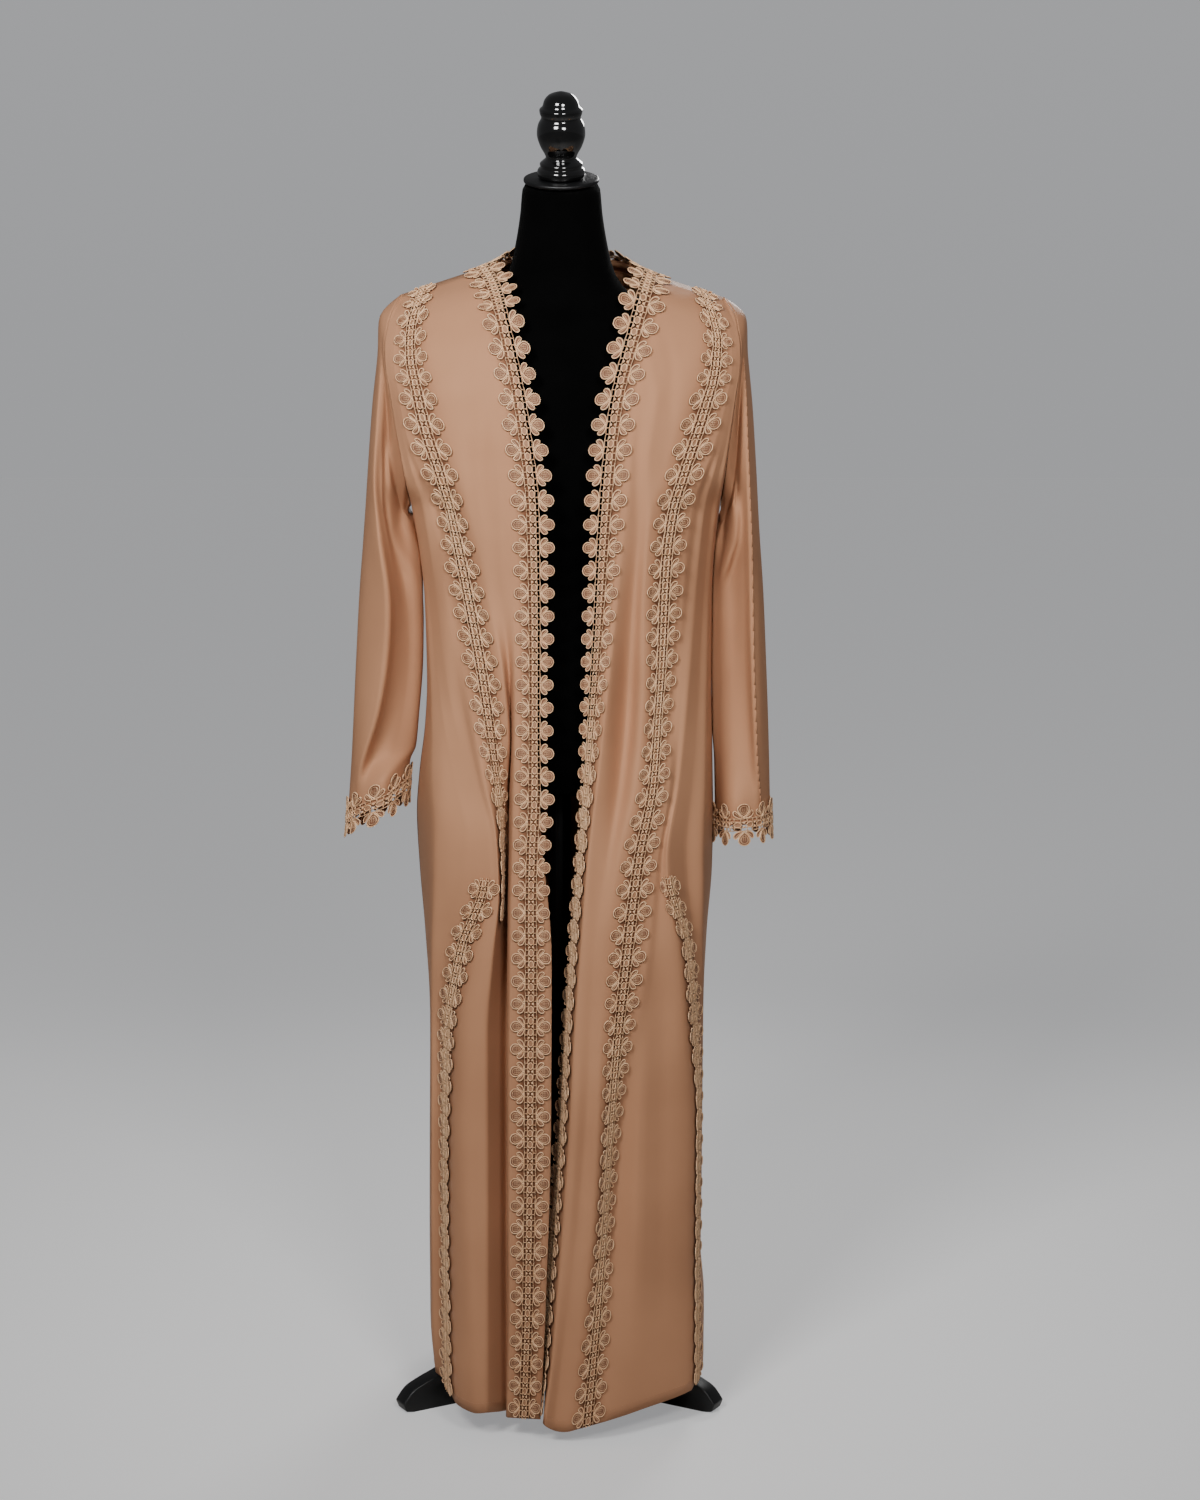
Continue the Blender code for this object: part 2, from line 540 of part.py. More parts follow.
def sleeve(name, right, material):
    rings = sleeve_rings(right)
    count = len(rings[0])
    points = [p for ring in rings for p in ring]
    faces = grid_faces(len(rings), count, flip=right, closed=True)
    normals = facet_normals(points, faces)
    middle = (rings[0][0].z + rings[0][ARM_ROWS].z) / 2
    for k, point in enumerate(rings[0]):
        normals[k] = Vector((0, point.y * 2, point.z - middle)).normalized()
    wall(name, points, faces, normals, CLOTH, material)
    return rings


# --- lace --------------------------------------------------------------------------------------------
def lace_band(name, outer, inner, normals, cut, material):
    """A scalloped band between two lines of a panel, raised off it; cut bands have ladder gaps.

    outer and inner are the band's edges at the panel's rows, and normals its outward direction
    there.  Each stretch between two rows holds a whole number of petals."""
    lift = []
    for i in range(len(outer)):
        twist = 0.0
        for k in (i - 1, i):
            if 0 <= k < len(outer) - 1:
                bend = outer[k] - inner[k] - outer[k + 1] + inner[k + 1]
                twist = max(twist, abs(bend.dot(normals[i])) * TWIST_SHARE)
        lift.append(GAP + twist)
    points, ups, faces = [], [], []

    def add(along, across, stretch):
        a = outer[stretch] + normals[stretch] * lift[stretch]
        b = inner[stretch] + normals[stretch] * lift[stretch]
        if along > 0:
            a = a.lerp(outer[stretch + 1] + normals[stretch + 1] * lift[stretch + 1], along)
            b = b.lerp(inner[stretch + 1] + normals[stretch + 1] * lift[stretch + 1], along)
        up = normals[stretch].lerp(normals[min(stretch + 1, len(normals) - 1)], along)
        width = (b - a).length
        inset = across if across >= 0 else width + across
        points.append(a.lerp(b, inset / width))
        ups.append(up.normalized())
        return len(points) - 1

    previous = None
    for stretch in range(len(outer) - 1):
        length = ((outer[stretch + 1] + inner[stretch + 1])
                  - (outer[stretch] + inner[stretch])).length / 2
        repeats = max(1, round(length / LACE_REPEAT))
        for r in range(repeats):
            if previous is None:
                previous = (add(0, LACE_NOTCH, 0), add(0, -LACE_NOTCH, 0))
            middle = (r + 0.5) / repeats
            low = (r + 1) / repeats
            a1 = add(middle, 0, stretch)
            b1 = add(middle, band_width(outer, inner, stretch, middle), stretch)
            if low < 1:
                a2 = add(low, LACE_NOTCH, stretch)
                b2 = add(low, -LACE_NOTCH, stretch)
            else:
                a2 = add(0, LACE_NOTCH, stretch + 1)
                b2 = add(0, -LACE_NOTCH, stretch + 1)
            a0, b0 = previous
            if cut:
                width = band_width(outer, inner, stretch, middle)
                reach = LACE_HOLE[1] / 2 / (length / repeats)
                left = add(middle, width / 2 - LACE_HOLE[0] / 2, stretch)
                right = add(middle, width / 2 + LACE_HOLE[0] / 2, stretch)
                top = add(middle - reach / repeats,
                          band_width(outer, inner, stretch, middle - reach / repeats) / 2, stretch)
                foot = add(middle + reach / repeats,
                           band_width(outer, inner, stretch, middle + reach / repeats) / 2,
                           stretch)
                faces += [(a0, top, b0), (a0, left, top), (a0, a1, left), (b0, top, right),
                          (b0, right, b1), (a2, b2, foot), (a2, foot, left), (a2, left, a1),
                          (b2, right, foot), (b2, b1, right)]
            else:
                faces += [(a0, a1, b1, b0), (a1, a2, b2, b1)]
            previous = (a2, b2)
    facing = facet_normals(points, faces)
    if sum(n.dot(up) for n, up in zip(facing, ups)) < 0:
        faces = [tuple(reversed(face)) for face in faces]
    wall(name, points, faces, ups, -LACE, material)


def band_width(outer, inner, stretch, part):
    a = outer[stretch].lerp(outer[stretch + 1], part)
    b = inner[stretch].lerp(inner[stretch + 1], part)
    return (b - a).length


def band_normals(outer, inner, sign):
    """Outward direction of a band at each of its rows."""
    normals = []
    for i in range(len(outer)):
        first, last = max(i - 1, 0), min(i + 1, len(outer) - 1)
        along = outer[last] + inner[last] - outer[first] - inner[first]
        across = inner[i] - outer[i]
        normals.append(along.cross(across).normalized() * sign)
    return normals


def panel_band(name, rows, line, right, first, last, cut, material):
    """Lace along one line of a front panel, from one row to another."""
    j = sum(LINE_CELLS[:LINE_ORDER.index(line)])
    heights = row_heights()
    outer = [rows[i][j].copy() for i in range(first, last + 1)]
    inner = [rows[i][j + 1].copy() for i in range(first, last + 1)]
    if line == "front_out":
        for k in range(len(outer)):
            share = at_height(EDGE_SHARE, heights[first + k])[1 if right else 0]
            inner[k] = outer[k] + (inner[k] - outer[k]) / share
    normals = band_normals(outer, inner, -1 if right else 1)
    if first == 0:
        normals[0] = shoulder_facing(1 if right else -1)
    lace_band(name, outer, inner, normals, cut, material)


def neck_band(name, material):
    outer, inner = neck_points(0.0), neck_points(1.0)
    normals = band_normals(outer, inner, 1)
    normals[0] = shoulder_facing(1)
    normals[-1] = shoulder_facing(-1)
    lace_band(name, outer, inner, normals, True, material)


def cuff_bands(name, rings, right, material):
    """Lace round a sleeve's end, half lying on the cloth and half hanging, in two halves."""
    upper, lower = rings[-2], rings[-1]
    count = len(lower)
    top, bottom, normals = [], [], []
    for k in range(count):
        down = (lower[k] - upper[k]).normalized()
        top.append(lower[k] - down * CUFF_TOP)
        bottom.append(lower[k] + down * CUFF_HANG)
        out = (lower[(k + 1) % count] - lower[k - 1]).cross(down).normalized()
        normals.append(out if right else -out)
    half = count // 2
    for part, start in (("front", 0), ("back", half)):
        picks = [(start + k) % count for k in range(half + 1)]
        outer = [top[k].copy() for k in picks]
        inner = [bottom[k].copy() for k in picks]
        ups = [normals[k].copy() for k in picks]
        for end, nearby in ((0, 1), (-1, -2)):
            for line in (outer, inner):
                step = (line[nearby] - line[end]).normalized() * GAP / 2
                line[end] = line[end] + step
        petal_ring(name + "_" + part, outer, inner, ups, material)


def petal_ring(name, outer, inner, ups, material):
    """Cuff lace whose notches and petal tips fall on the sleeve's own corners in turn."""
    points, lifted, faces = [], [], []
    for k in range(len(outer)):
        tip = k % 2 == 1
        a = outer[k] + ups[k] * GAP
        b = inner[k] + ups[k] * GAP
        width = (b - a).length
        inset = 0.0 if tip else LACE_NOTCH
        row = [a.lerp(b, inset / width), a.lerp(b, 1 - inset / width)]
        if tip:
            row += [a.lerp(b, CUFF_HOLE - LACE_HOLE[0] / 2 / width),
                    a.lerp(b, CUFF_HOLE + LACE_HOLE[0] / 2 / width)]
        points.append(row)
    index, flat = [], []
    for k, row in enumerate(points):
        index.append([len(flat) + j for j in range(len(row))])
        flat += row
        lifted += [ups[k]] * len(row)
    for k in range(1, len(points), 2):
        a1, b1, left, right = index[k]
        ends = []
        for other in (k - 1, k + 1):
            if other >= len(points):
                continue
            a0, b0 = index[other][:2]
            near = points[k][2].lerp(points[k][3], 0.5)
            far = points[other][0].lerp(points[other][1], CUFF_HOLE + 0.03)
            reach = LACE_HOLE[1] / 2 / (far - near).length
            flat.append(near.lerp(far, reach))
            lifted.append(ups[k])
            tip = len(flat) - 1
            ends.append((other, a0, b0, tip))
        for other, a0, b0, tip in ends:
            new = [(a0, tip, b0), (a0, left, tip), (a0, a1, left), (b0, tip, right),
                   (b0, right, b1)]
            faces += new if other < k else [tuple(reversed(face)) for face in new]
    facing = facet_normals(flat, faces)
    if sum(n.dot(up) for n, up in zip(facing, lifted)) < 0:
        faces = [tuple(reversed(face)) for face in faces]
    wall(name, flat, faces, lifted, -LACE, material)


# --- dress form ----------------------------------------------------------------------------------------
def stacked(name, rings, material, shift=None):
    """Closed body through rings of points, from top to bottom, with flat fans for its ends."""
    count = len(rings[0])
    points = [p for ring in rings for p in ring]
    faces = grid_faces(len(rings), count, flip=False, closed=True)
    for ring, flip in ((rings[0], False), (rings[-1], True)):
        centre = len(points)
        points.append(sum(ring, Vector()) / count)
        base = 0 if ring is rings[0] else (len(rings) - 1) * count
        for j in range(count):
            face = (centre, base + j, base + (j + 1) % count)
            faces.append(tuple(reversed(face)) if flip else face)
    if shift is not None:
        points = [shift @ p for p in points]
    return solid(name, points, faces, material)


def round_rings(profile, sides, centre=(0, 0)):
    """Rings of a turned piece from (radius, height) rows, top row first."""
    rings = []
    for radius, height in sorted(profile, key=lambda row: -row[1]):
        rings.append([Vector((centre[0] + radius * math.cos(2 * math.pi * k / sides),
                              centre[1] + radius * math.sin(2 * math.pi * k / sides), height))
                      for k in range(sides)])
    return rings


def torso(material):
    rings = []
    tilt = math.tan(math.radians(NECK_TILT))
    for height, half, front, back in FORM:
        ring = []
        lean = min(max((height - 1400) / 80, 0.0), 1.0)
        for k in range(FORM_SIDES):
            angle = 2 * math.pi * k / FORM_SIDES
            c, s = math.cos(angle), math.sin(angle)
            x = FORM_X + half * math.copysign(abs(c) ** (2 / FORM_POWER), c)
            reach = back if s > 0 else -front
            y = reach * math.copysign(abs(s) ** (2 / FORM_POWER), s)
            ring.append(Vector((x, y, height + lean * tilt * (y - CAP_CENTRE[1]))))
        rings.append(ring)
    stacked("form_torso", rings, material)


def neck_fittings(cap_material, finial_material):
    """Cap and finial, both square to the tilted top of the neck."""
    lean = (Matrix.Translation(CAP_CENTRE)
            @ Matrix.Rotation(math.radians(NECK_TILT), 4, "X"))
    radius, thick = CAP
    cap = ((radius - 1, GAP), (radius, GAP + 1), (radius, thick - 1), (radius - 1, thick))
    stacked("neck_cap", round_rings(cap, FORM_SIDES), cap_material, lean)
    top = [(r, h + thick + GAP) for r, h in FINIAL]
    stacked("finial", round_rings(top, FINIAL_SIDES), finial_material, lean)


def stand(material):
    """Pole, hub and three curved board legs."""
    pole = ((POLE_RADIUS, POLE_Z[0]), (POLE_RADIUS, POLE_Z[1]))
    stacked("pole", round_rings(pole, HUB_SIDES), material)
    stacked("hub", round_rings(HUB, HUB_SIDES), material)
    outline = list(LEG_TOP) + list(LEG_BOTTOM)
    count = len(outline)
    for number, angle in enumerate(LEG_ANGLES, start=1):
        turn = Matrix.Rotation(math.radians(angle), 4, "Z")
        points = []
        for side in (-1, 1):
            points += [turn @ Vector((r, side * LEG_THICK / 2, z)) for r, z in outline]
        faces = []
        top, low = list(range(len(LEG_TOP))), list(range(count - 1, len(LEG_TOP) - 1, -1))
        for side in (0, 1):
            strip = bridge(top, low)
            for face in strip:
                face = tuple(k + side * count for k in face)
                faces.append(face if side == 1 else tuple(reversed(face)))
        for k in range(count):
            n = (k + 1) % count
            faces += [(k, n, n + count), (k, n + count, k + count)]
        leg = solid("leg_%d" % number, points, faces, material)
        mesh = bmesh.new()
        mesh.from_mesh(leg.data)
        bmesh.ops.recalc_face_normals(mesh, faces=mesh.faces)
        mesh.to_mesh(leg.data)
        mesh.free()


def bridge(top, low):
    """Triangles between two rows of point numbers that run the same way."""
    faces, i, j = [], 0, 0
    while i < len(top) - 1 or j < len(low) - 1:
        if j == len(low) - 1 or (i < len(top) - 1 and i * len(low) <= j * len(top)):
            faces.append((top[i], top[i + 1], low[j]))
            i += 1
        else:
            faces.append((top[i], low[j + 1], low[j]))
            j += 1
    return faces


# --- materials -------------------------------------------------------------------------------------------
def finish(name, colour, roughness, metallic=0.0):
    material = bpy.data.materials.new(name)
    material.use_nodes = True
    shader = material.node_tree.nodes["Principled BSDF"]
    shader.inputs["Base Color"].default_value = (*colour, 1.0)
    shader.inputs["Roughness"].default_value = roughness
    shader.inputs["Metallic"].default_value = metallic
    return material


def main():
    for obj in list(bpy.data.objects):
        bpy.data.objects.remove(obj, do_unlink=True)
    satin = finish("satin_crepe", (0.42, 0.22, 0.13), 0.45)
    lace = finish("guipure_lace", (0.55, 0.33, 0.18), 0.8)
    velvet = finish("black_velvet", (0.004, 0.004, 0.005), 0.95)
    lacquer = finish("black_lacquer", (0.006, 0.006, 0.006), 0.15)
    satin_black = finish("satin_black", (0.02, 0.02, 0.02), 0.4)

    left = front_panel("front_left", False, satin)
    right = front_panel("front_right", True, satin)
    back_panel("back", satin)
    left_rings = sleeve("sleeve_left", False, satin)
    right_rings = sleeve("sleeve_right", True, satin)

    last = ARM_ROWS + BODY_ROWS
    panel_band("lace_front_left", left, "front_out", False, 0, last, True, lace)
    panel_band("lace_front_right", right, "front_out", True, 0, last, True, lace)
    panel_band("lace_princess_left", left, "princess_out", False, 0, ARM_ROWS + 9, False, lace)
    panel_band("lace_princess_right", right, "princess_out", True, 0, last, False, lace)
    panel_band("lace_branch_left", left, "branch_out", False, ARM_ROWS + 7, last, False, lace)
    panel_band("lace_branch_right", right, "branch_out", True, ARM_ROWS + 7, last, False, lace)
    neck_band("lace_back_neck", lace)
    cuff_bands("lace_cuff_left", left_rings, False, lace)
    cuff_bands("lace_cuff_right", right_rings, True, lace)

    torso(velvet)
    neck_fittings(satin_black, lacquer)
    stand(satin_black)


main()
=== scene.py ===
"""Open abaya cloak in satin crepe with guipure lace, on a velvet dress form.

Lengths in the tables are millimetres, +Z is up and the front faces -Y.  The cloth panels are
evaluated from the same tables as the solids, on a finer grid, and the lace is a repeated motif
that Geometry Nodes lay along each band.
"""

import math

import bmesh
import bpy
from mathutils import Matrix, Vector, noise


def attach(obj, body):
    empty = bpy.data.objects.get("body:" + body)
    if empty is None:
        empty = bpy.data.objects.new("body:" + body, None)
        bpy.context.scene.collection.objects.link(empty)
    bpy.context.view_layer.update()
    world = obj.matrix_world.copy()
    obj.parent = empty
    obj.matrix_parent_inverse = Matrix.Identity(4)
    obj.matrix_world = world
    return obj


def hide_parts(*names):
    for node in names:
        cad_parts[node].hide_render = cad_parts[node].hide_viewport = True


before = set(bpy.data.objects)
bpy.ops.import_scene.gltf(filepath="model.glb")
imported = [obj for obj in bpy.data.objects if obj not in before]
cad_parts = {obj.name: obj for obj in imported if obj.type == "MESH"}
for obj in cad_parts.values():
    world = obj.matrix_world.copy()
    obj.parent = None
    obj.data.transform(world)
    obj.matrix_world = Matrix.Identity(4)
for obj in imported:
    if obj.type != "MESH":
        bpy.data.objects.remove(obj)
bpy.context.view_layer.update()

MM = 0.001
FINE_ROWS = 4              # finer rows between two of the solids' rows
FINE_CELLS = 6             # finer cells in one of the solids' cells
SLEEVE_STEPS = 5           # finer rings between two of the sleeve's rings

# --- lace: one repeat, its cords and plates ---
LACE_WIDTH = 54.0
LACE_LIFT = 1.2            # the web's underside above the cloth
CORD = 0.64                # radius of an outline cord
VEIN = 0.36                # radius of a cord inside a petal
NET = 0.24                 # radius of a net thread
WEB = 0.4                  # thickness of the close stitching that fills a petal
FAN_FOOT = 19.2            # where a fan joins the ladder, from the band's edge
CUFF_PETALS = 5            # petals on each half of a cuff
# half outline of a fan's middle petal: out from its foot, along the band, height
FAN_LOBE = ((2.6, 0.7, 1.0), (5.4, 3.3, 1.1), (9.2, 5.5, 1.4), (13.4, 5.8, 1.7), (16.9, 3.6, 2.1),
            (18.2, 0, 2.2))
# outline of one of its two side petals
FAN_LEAF = ((0.9, 1.7, 1.0), (0.9, 4.8, 1.0), (2.2, 8.2, 1.3), (5.0, 10.4, 1.6), (8.2, 10.5, 1.8),
            (9.8, 8.7, 1.6), (7.8, 6.5, 1.2), (4.4, 4.2, 1.0))
PETAL_STEPS = 2            # points of a petal's cord from one of the outline's to the next
LEAF_VEIN = ((2.2, 3.8, 1.0), (5.4, 7.0, 1.2), (8.0, 8.9, 1.6))
NET_ROWS = (-3.0, -1.0, 1.0, 3.0)
NET_COLUMNS = (8.2, 10.4, 12.6, 14.6)
NET_HEIGHTS = (1.05, 1.45)     # of the threads along the petal, at its foot and its tip
NET_RISE = (6.0, 1.0, 0.05)    # of the threads across: from this far out, this height, this slope
LOBE_MIDDLE = 11.2         # middle of the middle petal, from its foot
LOBE_REACH = (5.2, 3.8)    # half length and half width of the net in it
LOBE_INNER = 0.68          # size of the cord inside the petal's outline
FAN_KNOT = (1.0, 0, 0.7)   # where the raised knot at a fan's foot lies
LADDER_RAILS = (19.4, 23.4, 30.6, 34.6)
LADDER_BARS = 4            # bars across each row of gaps in one repeat
LADDER_CORD = 0.52         # radius of the ladder's cords
LADDER_TALL = 2.2          # and how much taller than wide they are
LADDER_HEIGHT = 1.0
RAIL_BOW = (0.0, 0.35, 0.0, -0.35)      # how the rails swing from side to side
RINGS = 2                  # rings along one repeat of the ladder
RING = (3.1, 3.9, 1.3)     # half width, half length and height of a ring
RING_SIDES = 10
RING_DROP = 0.6            # how far below a ring its plate lies
KNOT_PAIR = (2.4, 0.8)     # the ladder's raised knots: distance from its middle, height
PUFF = (1.5, 1.5, 1.7)     # half width, half length and height of a raised knot
PUFF_RINGS, PUFF_SIDES = 3, 7
NECK_PETALS = 11           # petals of the lace behind the neck
STRIP_CELLS = 6            # cells across a band of lace
BAND_EDGE = 0.0002         # share of a band's chart that the lace keeps off its edges
# how far each part of the lace is painted towards the dark tone: the plates of close stitching in
# the petals and rings, and the threads over them, carry painted shade of the gaps between their
# threads; the rails are a little darker and the raised knots lighter
PAINTED_TONES = {"cord": 0.0, "knot": -0.2, "rail": 0.3, "vein": 0.3, "net": 0.4, "disc": 0.8, "web": 1.0}
PAINTED_SHADE_START = 1            # fine rows below the top of a band where the painted shade under its ladder starts
PAINTED_SHADE_REACH = (0.20, 0.36)    # share of the width on either side of the middle that the painted shade covers

# --- stitches and crease: pitch, width of the strip, lift above it ---
STITCH = (4.0, 2.0, 0.05)
STITCH_LONG = (0.5, 3.5)   # where a stitch starts and ends in its pitch
STITCH_THREAD = 0.22
HEM_TURN = 0.9             # share of the last fine row at which the hem is stitched
CREASE = (13.0, 6.0, -0.6)
CREASE_RIDGE = (1.1, 1.5)  # radius and tallness of the pressed edge down the right sleeve
CREASE_COLUMN = 12         # point of the sleeve's rings that it follows

# --- studio ---
ROOM_LIGHT = 0.18          # light that the room gives
ROOM_HORIZON, ROOM_SEEN = 0.55, 0.62    # how pale it is to look at, low down and higher up
FLOOR_GLOW = 0.43          # seen only: makes up for the lamps' falloff far off on the floor
# name, place, aim, size in metres, spread in degrees, power in watts
STUDIO_LIGHTS = (
    ("key", (-0.9, -2.1, 2.3), (0.0, 0.0, 1.15), (0.7, 0.7), 80, 13.0),
    ("fill", (0.6, -2.4, 2.1), (0.0, 0.0, 1.15), (0.6, 0.6), 75, 8.0),
    ("rear", (0.9, 2.6, 2.4), (0.0, 0.0, 1.0), (0.9, 0.9), 90, 9.0),
)
FLOOR_SIZE = 40.0
STUDIO_PALE = "#D9DADD"
ROOM_PALES = 0.3           # how far up the room reaches its full paleness
CAMERA_PLACE = (0.05, -3.5, 1.335)
CAMERA_DOWN = 8.63         # degrees below level
CAMERA_LENS = 69.4
SENSOR = 36.0

# --- driving sizes ---
CLOTH = 1.6                # wall of the satin panels
GAP = 0.3                  # between neighbouring pieces
LACE_REPEAT = 26.0         # one petal of the lace along its band
SEAM_TOP = 1393.0          # height of the shoulder seam at the neck
SHOULDER_DROP = 39.0       # how much lower the seam lies at the shoulder point
SLOPE_START = 70.0         # distance from the middle where the shoulder starts to slope
SLOPE_REACH = 120.0        # and the distance over which it drops
SLOPE_MOST = 1.15          # and how many times the drop it may reach
SLOPE_END = 1240.0         # height below which the rows are level again
UNDERARM = 1103.0
HEM = 32.0
UNDERARM_ROW = 10          # the solids' rows down to the underarm and to the hem
HEM_ROW = 30
ARM_ROWS = UNDERARM_ROW * FINE_ROWS
BODY_ROWS = (HEM_ROW - UNDERARM_ROW) * FINE_ROWS
NECK_CELLS = 8 * FINE_CELLS  # cells across the back neckline
SIDE_CELLS = 6 * FINE_CELLS  # cells from the neckline to the side, on the back
NECK_BACK = (10.0, 90.0, 1396.5)      # middle of the fabric edge behind the neck: x, y, z
NECK_BAND = (23.0, 13.5)              # half the lace's width there, backwards and downwards

# --- the body's hull: height, depth of the front and of the back, squareness of the section ---
HULL = (
    (1393, 0, 0, 2.5), (1368, 50, 60, 2.5), (1343, 76, 85, 2.5), (1318, 92, 98, 2.5),
    (1290, 105, 106, 2.5), (1230, 124, 112, 2.5), (1170, 133, 114, 2.5), (1103, 136, 114, 2.5),
    (1000, 134, 112, 2.5), (900, 140, 120, 2.6), (700, 158, 146, 3.0), (500, 176, 166, 3.2),
    (300, 192, 182, 3.2), (100, 211, 196, 3.2), (32, 220, 200, 3.2),
)
ARMHOLE_WIDEN = (0.09, 30.0)   # the hull's added width at an armhole, and the depth for all of it

# --- where the side line runs: height, left x, right x, depth of the armhole edge ---
SIDE = (
    (1393, -188, 200, 0), (1368, -198, 211, 26), (1343, -203, 214, 38), (1318, -206, 217, 45),
    (1290, -205, 216, 49), (1260, -202, 214, 51), (1230, -198, 211, 51), (1200, -193, 207, 46),
    (1168, -188, 203, 38), (1136, -183, 199, 25), (1103, -178, 195, 0), (1050, -169, 189, 0),
    (990, -163, 186, 0), (888, -161, 186, 0), (835, -164, 187, 0), (781, -171, 188, 0),
    (727, -175, 189, 0), (660, -172, 188, 0), (580, -166, 182, 0), (480, -161, 178, 0),
    (300, -163, 177, 0), (180, -164, 176, 0), (100, -164, 181, 0), (32, -158, 180, 0),
)

# --- lines down a front, from the side to the front edge: height, x, how far behind the hull ---
# branch = lace that leaves the princess line at the hip; princess = lace from the shoulder;
# panel and valley = fold lines on either side of the princess lace; front = lace on the front edge
LEFT_LINES = {
    "branch_out": (
        (1393, -185, 0), (1343, -199, 0), (1290, -201, 0), (1220, -192, 0), (1190, -187, 0),
        (1103, -168, 4), (888, -142, 8), (781, -122, 6), (727, -108, 0), (660, -116, 4),
        (580, -132, 14), (480, -143, 21), (300, -142, 28), (32, -142, 18),
    ),
    "branch_in": (
        (1393, -182, 0), (1343, -196, 0), (1290, -198, 0), (1220, -189, 0), (1190, -183, 0),
        (1103, -160, 6), (888, -130, 12), (781, -104, 6), (727, -84, 0), (660, -80, 0),
        (580, -98, 0), (480, -120, 0), (300, -128, 0), (32, -124, 0),
    ),
    "panel": (
        (1393, -179, 0), (1343, -193, 0), (1290, -195, 0), (1220, -186, 0), (1190, -180, 0),
        (1103, -152, 12), (888, -117, 14), (781, -93, 4), (727, -78, 0), (660, -74, 0),
        (580, -87, -3), (480, -101, -4), (300, -104, -5), (32, -101, -5),
    ),
    "princess_out": (
        (1393, -176, 0), (1343, -190, 0), (1318, -192, 0), (1290, -192, 0), (1255, -188, 0),
        (1220, -183, 0), (1190, -176, 0), (1150, -160, 4), (1103, -143, 18), (1046, -134, 14),
        (977, -121, 16), (910, -109, 12), (835, -95, 4), (781, -83, 0), (727, -72, 0),
        (660, -69, 0), (580, -76, 0), (480, -84, 2), (32, -84, 2),
    ),
    "princess_in": (
        (1393, -143, 0), (1343, -151, 0), (1318, -152, 0), (1290, -150, 0), (1255, -143, 0),
        (1220, -134, 0), (1190, -125, 0), (1150, -114, 0), (1103, -105, 0), (1046, -90, 0),
        (977, -77, 0), (910, -65, 0), (835, -59, 6), (781, -61, 22), (727, -64, 38), (660, -65, 44),
        (580, -68, 38), (480, -72, 32), (32, -72, 24),
    ),
    "valley": (
        (1393, -128, 0), (1290, -114, 0), (1220, -98, 0), (1103, -78, 0), (1046, -70, 0),
        (977, -63, 6), (910, -57, 14), (835, -56, 26), (781, -58, 36), (660, -60, 50),
        (32, -60, 40),
    ),
    "front_out": (
        (1393, -115, 0), (1368, -102, 0), (1320, -87, 0), (1220, -66, 0), (1103, -54, 0),
        (888, -49, 0), (740, -52, 0), (580, -55, 0), (380, -57, 0), (180, -57, 0), (32, -60, 8),
    ),
    "edge": (
        (1393, -91, 0), (1368, -76, 0), (1320, -62, 0), (1220, -41, 0), (1103, -28, 0),
        (888, -25, 0), (740, -20, 0), (580, -7, 0), (380, -8, 0), (180, -14, 0), (32, -21, 8),
    ),
}
